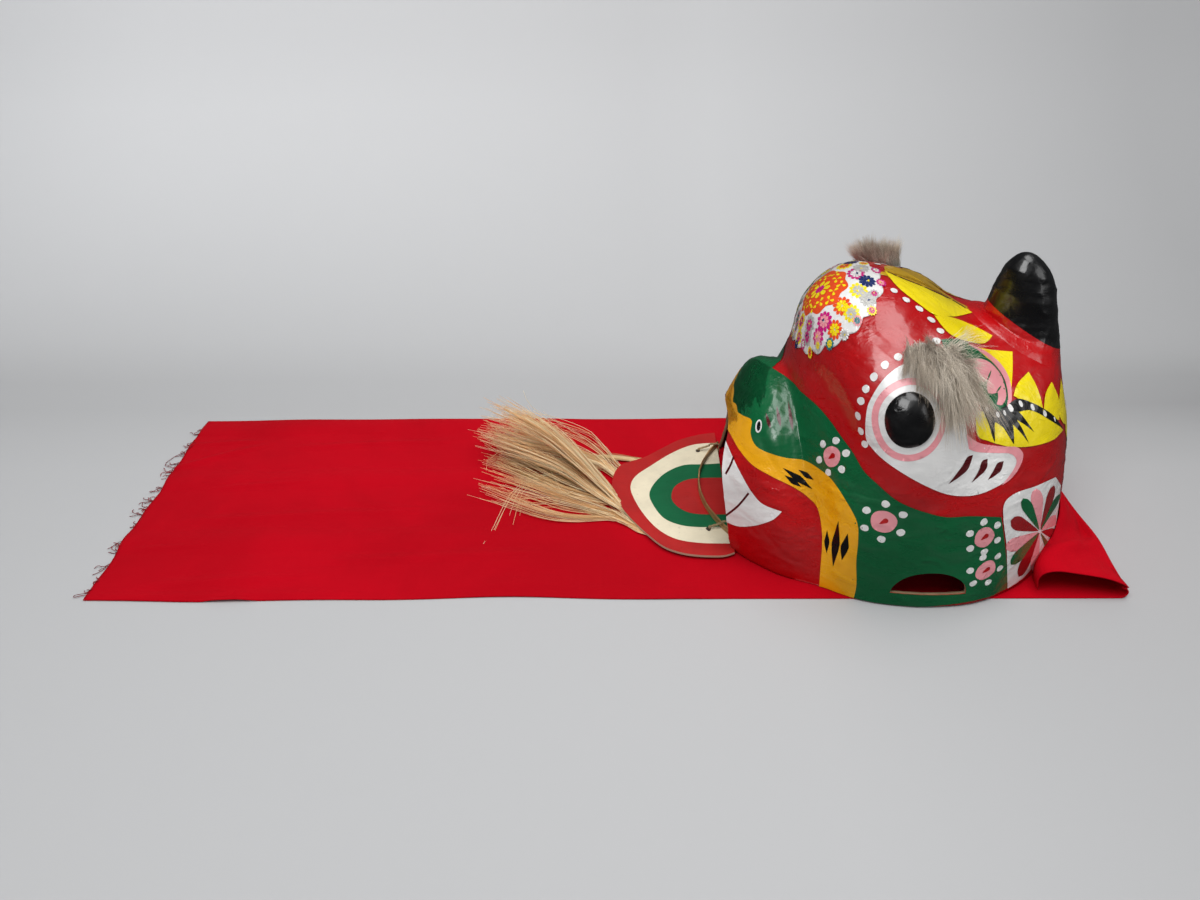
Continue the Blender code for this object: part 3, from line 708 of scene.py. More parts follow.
class PaintLayer:
    # Flat paint of one colour on the skin, gathered from many outlines
    def __init__(self):
        self.points, self.lifts, self.faces = [], [], []

    def add(self, loops, lift, dome=None):
        loops = [gridCrossings([tuple(p) for p in loop]) for loop in loops]
        verts, edges = [], []
        for loop in loops:
            first = len(verts)
            verts += loop
            edges += [(first + i, first + (i + 1) % len(loop)) for i in range(len(loop))]
        flat = np.array(verts)
        low, high = np.ceil(flat.min(axis=0)).astype(int), np.floor(flat.max(axis=0)).astype(int)
        if (high >= low).all():
            steps = [np.arange(low[axis], high[axis] + 1) for axis in (0, 1)]
            lattice = np.stack(np.meshgrid(*steps, indexing="ij"), axis=-1).reshape(-1, 2).astype(float)
            flat = np.concatenate([flat, lattice[insideOutlines(lattice + 1e-5, loops)]])
        found = delaunay_2d_cdt([Vector(p) for p in flat], edges, [], 0, 1e-5, False)
        points, faces = np.array([tuple(v) for v in found[0]]), np.array(found[2])
        middles = points[faces].mean(axis=1)
        faces = faces[insideOutlines(middles, loops)]
        lifts = np.full(len(points), lift)
        if dome:
            lifts = lifts + dome(points)
        self.faces.append(faces + sum(len(p) for p in self.points))
        self.points.append(points)
        self.lifts.append(lifts)

    def both(self, loops, lift, dome=None):
        # On the near flank and, mirrored, on the far one
        self.add(loops, lift, dome)
        mirrored = [[(p[0], gridColumns - p[1]) for p in loop] for loop in loops]
        flipped = (lambda p: dome(np.stack([p[:, 0], gridColumns - p[:, 1]], axis=1))) if dome else None
        self.add(mirrored, lift, flipped)

    def make(self, name, material, slot="lacquer_red"):
        chart = np.concatenate(self.points)
        points = skinPoints(chart[:, 0], chart[:, 1], np.concatenate(self.lifts))
        faces = np.concatenate(self.faces)
        corners = points[faces]
        normals = np.cross(corners[:, 1] - corners[:, 0], corners[:, 2] - corners[:, 0])
        fromInside = corners.mean(axis=1) - np.array([0.0, 0.0, 0.04])
        flips = (normals * fromInside).sum(axis=1) < 0
        faces[flips] = faces[flips][:, ::-1]
        return newMesh(name, points, faces, material, "root")


layers = {}
lifts = {"first": 0.00044, "second": 0.00055, "third": 0.00066, "fourth": 0.00077}


def layer(name):
    return layers.setdefault(name, PaintLayer())


def paint(tone, level, *loops, above=0.0, dome=None):
    # Lays outlines of one tone at a level on both flanks
    layer(tone).both(loops, lifts[level] + above, dome)


def fromPhoto(points, corners=True, step=1.6):
    # Chart outline of a shape whose corners are pixels of the photograph's frame
    outline = smoothOutline(points, step=step) if corners else points
    middle = np.mean(np.array([p[:2] for p in points]), axis=0)
    chart = [chartOfPixel(p[:2], middle) for p in outline]
    return [c for c in chart if c is not None]


def stamp(pixel, outline, turn=0.0):
    # Chart outline of a shape drawn in metres on the plane that touches the skin at a pixel
    start, ray = Vector(view["place"]), pixelRay(*pixel)
    place, normal, _, _ = skinTree.ray_cast(start, ray)
    if normal.dot(ray) > 0:
        normal = -normal
    level = Vector((1, 0, 0)) - normal * normal.x
    level.normalize()
    rise = normal.cross(level)
    cosine, sine = math.cos(math.radians(turn)), math.sin(math.radians(turn))
    chart = []
    for x, y in outline:
        spot = place + level * (x * cosine - y * sine) + rise * (x * sine + y * cosine) + normal * 0.01
        found = chartOf(spot, -normal)
        if found:
            chart.append(found)
    return chart


def stroke(start, end, widths, half):
    # Chart outline of a tapered brush stroke between two pixels
    start, end = np.array(start, dtype=float), np.array(end, dtype=float)
    side = np.array([start[1] - end[1], end[0] - start[0]]) / np.linalg.norm(end - start)
    spots = np.linspace(0.0, 1.0, 13)
    reach = np.interp(spots, [w[0] for w in widths], [w[1] * half for w in widths])
    middle = start + (end - start) * spots[:, None]
    outline = list(middle + side * reach[:, None]) + list((middle - side * reach[:, None])[-2:0:-1])
    return fromPhoto(outline, corners=False)


def ellipse(across, tall=None, steps=28, wobble=0.0, seed=0.0):
    tall = across if tall is None else tall
    return [((1 + wobble * math.sin(3 * a + seed)) * across * math.cos(a),
             (1 + wobble * math.sin(2 * a + seed * 2)) * tall * math.sin(a))
            for a in (2 * math.pi * s / steps for s in range(steps))]


def petal(start, end, width, steps=10):
    # A teardrop along +X, round at its far end
    sides = []
    for s in range(steps + 1):
        share = s / steps
        cap = max(share - 0.70, 0.0) / 0.30
        swelling = width * min(share / 0.70, 1.0) ** 0.8
        sides.append((start + (end - start) * share, swelling * math.sqrt(max(1 - cap * cap, 0.0))))
    return sides + [(x, -y) for x, y in sides[-2:0:-1]]


gripHole = [chartOf((x, -head["width"], z), (0, 1, 0)) for x, z in gripOutline(0.0002)]


def paintMuzzle():
    # Green from the nose down the cheek to the grip hole, and the gold band of the lip
    green = [
        (753, 356.5, 1), (768.6, 366), (791.8, 381), (801, 391), (818, 406), (830.6, 420.6), (842, 437),
        (853, 452), (864, 470.6), (877, 483.5), (893.5, 498), (908, 506), (925, 512), (946, 517),
        (972, 516), (1001, 517, 1), (1004, 540), (1006, 560), (1008, 587, 1), (990, 596), (960, 603),
        (925, 606.2), (890, 604.8), (852, 599, 1), (853, 560), (852, 530), (842, 506), (828, 487),
        (816, 473), (785, 464), (764, 457), (748, 448), (746, 430), (738, 420), (730, 412), (729, 400),
        (733.5, 390), (735, 376), (738, 365), (744, 360),
    ]
    paint("green", "first", fromPhoto(green), gripHole)
    gold = [
        (733.5, 381, 1), (734.5, 391), (733.5, 402), (736, 410), (743, 415.5), (752, 420.5), (751, 433),
        (754.5, 443.5), (763, 450.5), (784, 457.6), (804.7, 460.4), (819.5, 468.7), (832.5, 479.8),
        (847.3, 502), (857.5, 522.4), (858.4, 541), (856.5, 561), (856.5, 585), (853.3, 599.6, 1),
        (836, 595), (819, 589.8, 1), (820.4, 570.5), (822.3, 544.6), (821.7, 526), (817.7, 507.6),
        (808.4, 497.4), (793.6, 487.3), (771.4, 476.1), (753, 465), (740, 450.2), (732.5, 437.3),
        (723.3, 420.6, 1), (721, 411.4), (723.3, 404), (729, 393),
    ]
    paint("gold", "second", fromPhoto(gold))
    # Widths along a stroke, as shares of its length and of its half width
    diamond = ((0.0, 0.0), (0.30, 0.62), (0.48, 1.0), (0.66, 0.8), (1.0, 0.0))
    wrinkle = ((0.0, 0.0), (0.35, 0.7), (0.62, 1.0), (0.85, 0.6), (1.0, 0.0))
    diamonds = (
        # both ends and the half width, in pixels
        ((782.5, 467.8), (813, 489), 3.4), ((798, 469.7), (814.3, 479.8), 2.8),
        ((784.4, 475.2), (801, 486.9), 2.8), ((838.9, 520.5), (833.4, 566.4), 4.2),
        ((827.5, 529.8), (826.9, 553), 2.7), ((848.2, 533), (842.1, 560), 4.2),
    )
    for start, end, wide in diamonds:
        paint("black", "third", stroke(start, end, diamond, wide))
    # Nostril and the three strokes behind it
    paint("white", "second", stamp((758.8, 426.2), ellipse(0.0026, 0.0052), -6))
    paint("black", "third", stamp((759, 426.2), ellipse(0.0015, 0.0038), -6))
    for start, end in (((766, 413), (770.5, 429)), ((776.4, 406), (780.3, 427)), ((788, 401), (792.5, 431))):
        paint("darkRed", "second", stroke(start, end, wrinkle, 1.9))


def paintTeeth():
    teeth = [
        (722, 431, 1), (727, 443), (734, 459), (742, 475), (752, 492), (763, 504), (782, 511.5, 1),
        (774, 519), (763, 523.5), (751, 526), (738, 526), (724.5, 521, 1), (723, 500), (722.5, 475),
        (721.5, 450),
    ]
    paint("white", "first", fromPhoto(teeth))
    for line in (((734, 457), (731, 465), (726, 474)), ((749, 493), (738, 506), (724.5, 516.5))):
        edge = smoothOutline(line, closed=False, step=2.0)
        strip = [(p[0] - 0.75, p[1] - 0.75) for p in edge] + [(p[0] + 0.75, p[1] + 0.75) for p in edge[::-1]]
        paint("darkRed", "second", fromPhoto(strip, corners=False))


def paintFlowers():
    # Pink discs with white dots round them on the green
    for number, (middle, radius) in enumerate((((832, 456.5), 0.0076), ((883.5, 521.5), 0.0088),
                                               ((984, 537), 0.0078), ((985.5, 570), 0.0082))):
        paint("pink", "second", stamp(middle, ellipse(radius, wobble=0.04, seed=number)))
        paint("red", "third", stamp(middle, petal(-0.0034, 0.0036, 0.0019), 35))
        for k in range(6):
            angle = math.radians(60 * k + 18 + number * 11)
            reach = radius * 1.58
            x, y = reach * math.cos(angle), reach * math.sin(angle)
            dot = [(x + a, y + b) for a, b in ellipse(0.0029, 0.0027, 16, 0.06, k + number)]
            paint("white", "second", stamp(middle, dot))


def paintEye():
    white = [
        (866, 437), (867, 410), (873, 395), (883, 380), (895, 369), (906, 364), (925, 362), (945, 372),
        (956, 395), (964, 418), (967, 437, 1), (975, 443), (985, 447), (1003, 449), (1016, 450),
        (1021, 456), (1018, 466), (1010, 477), (1001, 484), (985, 492), (971, 495.5), (955, 495.5),
        (940, 492), (920, 483), (901, 472), (884, 460), (873, 449),
    ]
    paint("white", "first", fromPhoto(white))
    paint("pink", "second", stamp((911, 420.5), ellipse(0.0240, 0.0280, 60, 0.015)),
          stamp((911, 420.5), ellipse(0.0200, 0.0234, 60, 0.02)))
    tail = [
        (966, 434, 1), (975, 441), (985, 444.5), (1003, 446.5), (1016, 447), (1022.5, 454), (1019.5, 466),
        (1011, 478), (1001, 485.5, 1), (1010, 474), (1015.5, 464), (1015, 458), (1009, 453.5), (995, 453),
        (977, 452), (968.5, 449, 1),
    ]
    paint("pink", "second", fromPhoto(tail))
    marks = (
        ((972.5, 455, 1), (968, 468), (960, 476), (948, 484, 1), (961, 467), (967, 457)),
        ((987, 459, 1), (986, 468), (980, 475), (971, 482.5, 1), (978, 471), (981.5, 461)),
        ((1003, 461, 1), (1000.5, 470), (995, 475), (987, 480, 1), (992.5, 471), (997, 463)),
    )
    for mark in marks:
        paint("darkRed", "third", fromPhoto(mark))
    pupil = stamp((910, 420.5), ellipse(0.0160, 0.0188, 60, 0.01))
    middle = np.mean(np.array(pupil), axis=0)
    reach = (np.array(pupil).max(axis=0) - np.array(pupil).min(axis=0)) / 2
    height = 0.0048

    def bulge(points):
        share = (((points - middle) / reach) ** 2).sum(axis=1)
        return height * np.sqrt(np.maximum(1.0 - share, 0.0))

    paint("black", "second", pupil, dome=bulge)


def paintDots():
    dots = (
        (894, 291), (906, 300), (919, 309), (931, 320), (940, 331), (936, 341), (923, 346), (898, 357),
        (885, 365), (874, 377), (866, 389), (861, 401), (858, 416), (861, 431), (865, 444),
    )
    for number, dot in enumerate(dots):
        paint("white", "first", stamp(dot, ellipse(0.0026, 0.0030, 18, 0.06, number), 20 * number))


def paintLeaves():
    leaves = (
        ((884, 271, 1), (896, 276.5), (923, 287), (951, 300), (972, 313, 1), (960, 316), (949, 317), (934, 315),
         (918, 304), (898, 288)),
        ((934, 316, 1), (952, 318), (973, 326), (992, 336, 1), (988, 341), (981, 344), (966, 341.5), (952, 336),
         (943, 328)),
        ((966, 345, 1), (990, 350), (1012, 352, 1), (1012, 372), (1010, 398, 1), (1003, 376), (990, 361)),
        ((1013, 396, 1), (1017, 384), (1028, 372, 1), (1035, 384), (1040, 398), (1043, 411, 1), (1036, 406),
         (1024, 402)),
        ((1043, 413, 1), (1045, 394), (1051, 382, 1), (1056.5, 394), (1058.5, 404), (1058.5, 420, 1), (1050, 418)),
        ((975, 411, 1), (990, 412), (1003, 414), (1020, 400), (1036, 406), (1050, 416), (1062.3, 430, 1),
         (1052, 440), (1032, 446), (1012, 447), (1001, 445), (988, 441), (977, 435)),
    )
    # The two long leaves in yellow on the near flank; their far copies in the darker yellow of painted shade
    for leaf in leaves[:2]:
        outline = fromPhoto(leaf)
        layer("yellow").add([outline], lifts["second"])
        layer("shadedYellow").add([[(row, gridColumns - column) for row, column in outline]], lifts["first"])
    for leaf in leaves[2:]:
        paint("yellow", "second", fromPhoto(leaf))
    # One leaf lies along the crest, under the long ones to each side of it, in the darker yellow that is painted
    # shade
    crest = gridColumns / 2
    per = head["rowsPerSection"]
    middle = [(per * (8.75 + 2.45 * x), crest + 5.0 * y) for x, y in petal(0.0, 1.0, 1.0, 16)]
    layer("shadedYellow").add([middle], lifts["first"])
    edge = ((887, 272.2), (897, 276.8), (923, 287.0), (951, 300.0), (966, 309))
    for start, end in zip(edge, edge[1:]):
        layer("darkRed").add([stroke(start, end, ((0, 0.8), (0.5, 1.0), (1, 0.8)), 0.5)], lifts["third"])
    # Back of the head, hidden in the photograph: the ring of leaves goes on round it
    for number in range(3):
        row = per * (13.55 + 0.55 * number)
        column = 62 - 3 * number
        shape = [(row - 4.2, column - 6), (row, column + 9, 1), (row + 4.2, column - 6),
                 (row, column - 10)]
        paint("yellow", "first", [tuple(p) for p in smoothOutline(shape)])
    lash = [
        (979, 403, 1), (990, 405.5), (998, 409), (1007, 404.5), (1017, 399), (1028, 401.5), (1042.5, 408.5),
        (1053.5, 416.5), (1063, 429.4, 1), (1058.5, 426), (1049, 420), (1038, 413.4), (1028, 410.2),
        (1018.3, 412, 1), (1025, 420), (1033.5, 432, 1), (1025, 425.4), (1016.2, 419.8, 1), (1021.8, 429.4),
        (1028.2, 443.2, 1), (1020, 432.6), (1012, 424.3, 1), (1013, 431), (1013.4, 444.5, 1),
        (1008.3, 436.5), (1002.7, 427.8), (995, 422.2, 1), (994, 426.2), (994.4, 443, 1), (991.5, 435.7),
        (988.3, 424.6), (984.3, 415),
    ]
    paint("black", "third", fromPhoto(lash, step=1.0))
    dots = (((986, 408.3), 0.0014), ((997, 414.7), 0.0013), ((1003.8, 413), 0.0011),
            ((1009.7, 408), 0.0022), ((1020, 404), 0.0017), ((1031.7, 407.4), 0.0017),
            ((1044, 413.7), 0.0016), ((1053.7, 419.3), 0.0010))
    for dot, wide in dots:
        paint("white", "fourth", stamp(dot, ellipse(wide, 0.0010 + wide * 0.9, 14), 25))


def paintEar():
    green = [
        (940.5, 340, 1), (951.5, 339), (964, 341.6), (974, 348), (983.5, 356), (996, 367), (1004, 381.5),
        (1007.5, 396), (1006.5, 404), (1002.5, 408.6), (997, 411), (990, 406), (983, 404), (975, 399),
        (967, 385), (959, 372), (950, 360), (943.7, 348),
    ]
    pinkOuter = [
        (966, 344, 1), (984, 351), (1000, 364), (1009, 380), (1011, 400), (1006, 409, 1), (1007, 392),
        (1001, 374), (986, 357),
    ]
    pink = [
        (958, 361.6, 1), (967.6, 359.5), (978.8, 359), (988.3, 362.4), (998, 372), (1002.7, 381.5),
        (1005.5, 396), (1001.5, 405), (996, 404.5, 1), (997.5, 398), (997, 392.7, 1), (992, 394),
        (987.5, 393.5, 1), (986, 387), (986.7, 381.5, 1), (981, 382), (974, 379), (965, 370),
    ]
    paint("green", "third", fromPhoto(green))
    paint("pink", "third", fromPhoto(pinkOuter))
    paint("pink", "third", fromPhoto(pink), above=0.00005)
    folds = (((974.5, 363), (970.5, 368.5)), ((990.5, 370.5), (986, 382.5)), ((1000.5, 386), (995.5, 393)))
    for start, end in folds:
        paint("green", "fourth", stroke(start, end, ((0, 0.3), (0.4, 1), (1, 0.4)), 0.9))


def paintBackPanel():
    # White panel with a rosette of petals behind the cheek
    panel = [
        (1055, 477, 1), (1035, 486), (1015, 493), (1004, 503), (1003, 520), (1006, 545), (1006.5, 565),
        (1007, 588, 1), (1022, 578), (1036, 562), (1047, 548), (1053, 535), (1057, 512), (1060, 485, 1),
    ]
    paint("white", "second", fromPhoto(panel))
    petals = (
        # degrees, length and half width in pixels
        ("pink", 95, 43, 6.2), ("rosetteRed", 73, 48, 3.6), ("green", 62, 42, 2.6), ("pink", 38, 24, 5.0),
        ("rosetteRed", -8, 16, 5.0), ("green", -62, 30, 3.5), ("pink", -100, 40, 4.0),
        ("rosetteRed", -115, 50, 4.6), ("green", -131, 44, 4.8), ("pink", -152, 38, 6.6),
        ("rosetteRed", 160, 31, 7.4), ("green", 117, 37, 5.6),
    )
    centre = (1039, 531)
    order = {"pink": 0.0, "rosetteRed": 0.00006, "green": 0.00012}
    for tone, turn, long, wide in petals:
        cosine, sine = math.cos(math.radians(turn)), math.sin(math.radians(turn))
        shape = [(centre[0] + x * cosine - y * sine, centre[1] - x * sine - y * cosine)
                 for x, y in petal(1.5, long, wide, 14)]
        paint(tone, "third", fromPhoto(shape, corners=False), above=order[tone])


paintMuzzle()
paintTeeth()
paintFlowers()
paintEye()
paintDots()
paintLeaves()
paintEar()
paintBackPanel()
for name, made in layers.items():
    made.make("paint_" + name, finishes["lacquer_" + name])
print("paint laid")


horn = {
    "x": 0.0755,
    "lean": -0.0128,
    "z": 0.1530,
    "height": 0.0665,
    "radius": 0.0332,
    "paintedDown": ((0.0407, 0.1824), (0.1058, 0.1461)),   # the black ends on a plane through these (X, Z)
    "sides": 56,
    "wall": 0.0020,
    # Rings of its foot, which spreads into the crest: share of the radius, and height above the skin
    "foot": ((1.42, -0.0030), (1.42, -0.0003), (1.14, 0.0024)),
    # Rings above it: shares of the height and of the radius
    "rings": ((0.06, 0.985), (0.12, 0.955), (0.19, 0.91), (0.30, 0.835), (0.46, 0.735), (0.60, 0.655),
              (0.72, 0.565), (0.80, 0.49), (0.855, 0.42), (0.91, 0.325), (0.955, 0.23), (0.985, 0.13)),
}


def makeHorn():
    points = []
    sides = horn["sides"]

    def footPoint(angle, reach):
        x, y = horn["x"] + reach * math.cos(angle), reach * math.sin(angle)
        hit = skinTree.ray_cast(Vector((x, y, 0.30)), Vector((0, 0, -1)))[0]
        return Vector((x, y, hit.z))

    angles = [2 * math.pi * s / sides for s in range(sides)]
    for spread, above in horn["foot"]:
        points += [footPoint(a, horn["radius"] * spread) + Vector((0, 0, above)) for a in angles]
    feet = [footPoint(a, horn["radius"]) + Vector((0, 0, 0.0010)) for a in angles]
    for number, (up, share) in enumerate(horn["rings"]):
        # Rings near the foot follow the skin, rings near the tip are level
        level = min(up / 0.62, 1.0) ** 0.8
        for k, angle in enumerate(angles):
            ripple = (1.0 + 0.012 * math.sin(3 * angle + number * 1.3)
                      + 0.008 * math.sin(7 * angle - number * 2.1))
            reach = horn["radius"] * share * ripple
            followed, levelled = feet[k].z + up * horn["height"] * 0.80, horn["z"] + up * horn["height"]
            points.append(Vector((horn["x"] + horn["lean"] * up + reach * math.cos(angle),
                                  reach * math.sin(angle), (1 - level) * followed + level * levelled)))
    rings = len(horn["foot"]) + len(horn["rings"])
    faces = [(r * sides + s, r * sides + (s + 1) % sides, (r + 1) * sides + (s + 1) % sides, (r + 1) * sides + s)
             for r in range(rings - 1) for s in range(sides)]
    points.append(Vector((horn["x"] + horn["lean"], 0.0, horn["z"] + horn["height"])))
    last = (rings - 1) * sides
    faces += [(last + s, last + (s + 1) % sides, len(points) - 1) for s in range(sides)]
    made = newMesh("horn", points, faces, finishes["lacquer_black"], "root")
    finer = made.modifiers.new("finer", "SUBSURF")
    finer.levels = finer.render_levels = 2
    applyModifiers(made)
    places = np.array([v.co for v in made.data.vertices])
    around = places - np.array([horn["x"], 0.0, horn["z"]])
    around[:, 2] = 0.0
    places += unit(around) * (crumpleLift(places) * 1.6)[:, None]
    made.data.vertices.foreach_set("co", places.astype(np.float32).ravel())
    (x0, z0), (x1, z1) = horn["paintedDown"]
    across = Vector((z0 - z1, 0.0, x1 - x0)).normalized()
    sheet = bmesh.new()
    sheet.from_mesh(made.data)
    bmesh.ops.bisect_plane(sheet, geom=sheet.verts[:] + sheet.edges[:] + sheet.faces[:], dist=1e-6,
                           plane_co=(x0, 0.0, z0), plane_no=across)
    made.data.materials.append(finishes["lacquer_red"])
    for face in sheet.faces:
        if (face.calc_center_median() - Vector((x0, 0.0, z0))).dot(across) < 0:
            face.material_index = 1
    sheet.to_mesh(made.data)
    sheet.free()
    addWall(made, horn["wall"])
    applyModifiers(made)
    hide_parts("head_shell")


makeHorn()
print("horn made")


paperPatch = {
    "from": 5.75,                # section position of its front edge
    "to": 8.9,
    "turn": 26,                  # degrees of the arch to each side of the crest
    "scallops": 16,
    "depth": 0.07,
    "lift": 0.0007,
    "thickness": 0.0005,
    # Rings of blossoms: place as a share of the radius, count, shift and size
    "blossoms": ((0.62, 11, 0.0, 0.150), (0.80, 15, 0.4, 0.135), (0.93, 22, 0.2, 0.080)),
    "tints": ("magenta", "yellow", "paleGrey", "teal", "white", "pink", "yellow", "paleGrey", "magenta", "orange",
              "yellow", "paleGrey", "navy"),
}


def patchPlace(radius, angle):
    # A place on the patch: share of its radius, and the angle from the back edge
    first, last = paperPatch["from"], paperPatch["to"]
    section = (first + last) / 2 + (last - first) / 2 * radius * math.cos(angle)
    reach = gridColumns * paperPatch["turn"] / 180
    return head["rowsPerSection"] * section, gridColumns / 2 + reach * radius * math.sin(angle)


def blossom(radius, angle, size, petals, width, turn=0.0, start=0.1):
    # Petals round a place on the patch, as outlines in shares of its radius
    shapes = []
    cx, cy = radius * math.cos(angle), radius * math.sin(angle)
    for k in range(petals):
        lean = turn + 2 * math.pi * k / petals
        shape = []
        for x, y in petal(start * size, size, width * size, 6):
            px = cx + x * math.cos(lean) - y * math.sin(lean)
            py = cy + x * math.sin(lean) + y * math.cos(lean)
            shape.append(patchPlace(math.hypot(px, py), math.atan2(py, px)))
        shapes.append(shape)
    return shapes


def makeForeheadPaper():
    tones = {}

    def put(tone, shapes, height):
        for shape in shapes:
            tones.setdefault(tone, PaintLayer()).add([shape], paperPatch["lift"] + height)

    scallops, tints = paperPatch["scallops"], paperPatch["tints"]
    edge = []
    for angle in (2 * math.pi * s / (scallops * 10) for s in range(scallops * 10)):
        edge.append(patchPlace(1.0 - paperPatch["depth"] * (1 - abs(math.cos(angle * scallops / 2))), angle))
    put("white", [edge], 0.0)
    turns = np.linspace(0, 2 * math.pi, 73)[:-1]
    put("orange", [[patchPlace(0.46 + 0.03 * math.sin(9 * a), a) for a in turns]], 0.0001)
    for k in range(14):
        angle = 2 * math.pi * k / 14
        put("yellow", blossom(0.30 + 0.07 * (k % 2), angle, 0.085, 3, 0.30, angle * 2), 0.0002)
    put("yellow", blossom(0.0, 0.0, 0.20, 8, 0.22, 0.2), 0.0002)
    put("magenta", blossom(0.0, 0.0, 0.09, 6, 0.4, 0.6), 0.0003)
    # Layered blossoms all over the rest, each a ring of narrow petals round a smaller one
    number = 0
    for radius, count, shift, size in paperPatch["blossoms"]:
        for k in range(count):
            angle = 2 * math.pi * (k + shift) / count
            reach = radius + 0.04 * math.sin(number * 2.7)
            above = 0.0001 + 0.00001 * (number % 9)
            put(tints[number % 13], blossom(reach, angle, size, 11, 0.20, number), above)
            inner, heart = tints[(number * 5 + 4) % 13], "navy" if number % 4 == 0 else "yellow"
            put(inner, blossom(reach, angle, size * 0.62, 8, 0.26, number * 2), above + 0.0001)
            put(heart, blossom(reach, angle, size * 0.25, 1, 0.8, number), above + 0.0002)
            number += 1
    for tone, made in tones.items():
        piece = made.make("forehead_print_" + tone, finishes["lacquer_" + tone], "printed_paper")
        if tone == "white":
            addWall(piece, paperPatch["thickness"])
            applyModifiers(piece)
            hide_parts("forehead_paper")


makeForeheadPaper()
print("forehead paper made")


def makeStrands(name, paths, radii, material, body, sides=3, tint=None):
    # paths is (strands, stations, 3); radii is (strands, stations)
    strands, stations, _ = paths.shape
    ahead = unit(np.gradient(paths, axis=1))
    guide = np.where(np.abs(ahead[..., 2:3]) > 0.9, np.array([1.0, 0.0, 0.0]), np.array([0.0, 0.0, 1.0]))
    first = unit(np.cross(ahead, guide))
    second = np.cross(ahead, first)
    rings = []
    for s in range(sides):
        angle = 2 * math.pi * s / sides
        rings.append(paths + (first * math.cos(angle) + second * math.sin(angle)) * radii[..., None])
    points = np.stack(rings, axis=2).reshape(-1, 3)
    starts = np.arange(strands)[:, None, None] * stations * sides
    rows = np.arange(stations - 1)[None, :, None] * sides
    around = np.arange(sides)[None, None, :]
    nextAround = (around + 1) % sides
    quads = np.stack([starts + rows + around, starts + rows + nextAround,
                      starts + rows + sides + nextAround, starts + rows + sides + around], axis=-1).reshape(-1, 4)
    made = newMesh(name, points, quads[:, ::-1], material, body)
    along = np.broadcast_to(np.linspace(0, 1, stations)[None, :, None], (strands, stations, sides)).ravel()
    tint = rng.random(strands) if tint is None else tint
    tint = np.broadcast_to(tint[:, None, None], (strands, stations, sides)).ravel()
    for key, values in (("along", along), ("tint", tint)):
        attribute = made.data.attributes.new(key, "FLOAT", "POINT")
        attribute.data.foreach_set("value", values.astype(np.float32))
    return made


brow = {
    "strip": ((909, 353), (922, 351), (936, 353), (950, 360), (962, 371)),   # its roots, in pixels
    "band": 0.0030,                      # spread of the roots across the strip
    "hairs": 4600,
    "clumps": 80,
    "span": {"near": (0.0, 1.0), "far": (0.10, 0.84)},
    "stations": 7,
    "radius": 0.00012,
    "droop": {"near": -0.36, "far": -0.06},
    # Along the strip from its front end: share, then back, down, out and length of the hairs
    "near": ((0.0, -0.32, 0.80, 0.45, 0.018), (0.15, -0.22, 1.00, 0.50, 0.026), (0.40, -0.12, 1.00, 0.50, 0.042),
             (0.62, -0.06, 1.00, 0.45, 0.062), (0.80, 0.04, 0.95, 0.45, 0.042), (1.0, 0.50, 0.70, 0.40, 0.024)),
    # The far one stands up over the crest
    "far": ((0.0, -0.95, -0.55, 0.75, 0.026), (0.25, -0.65, -0.65, 0.80, 0.028), (0.60, -0.48, -0.70, 0.80, 0.029),
            (1.0, -0.36, -0.70, 0.80, 0.029)),
}


def browRoots():
    # Places on the near flank along the strip, with the skin's normals
    pixels = smoothOutline(brow["strip"], closed=False, step=0.5)
    chart = np.array([chartOfPixel(p, (930, 370)) for p in pixels])
    places = skinPoints(chart[:, 0], chart[:, 1])
    around = skinPoints(chart[:, 0], chart[:, 1] + 0.5) - skinPoints(chart[:, 0], chart[:, 1] - 0.5)
    along = skinPoints(chart[:, 0] + 0.5, chart[:, 1]) - skinPoints(chart[:, 0] - 0.5, chart[:, 1])
    return places, unit(np.cross(along, around)), unit(around)


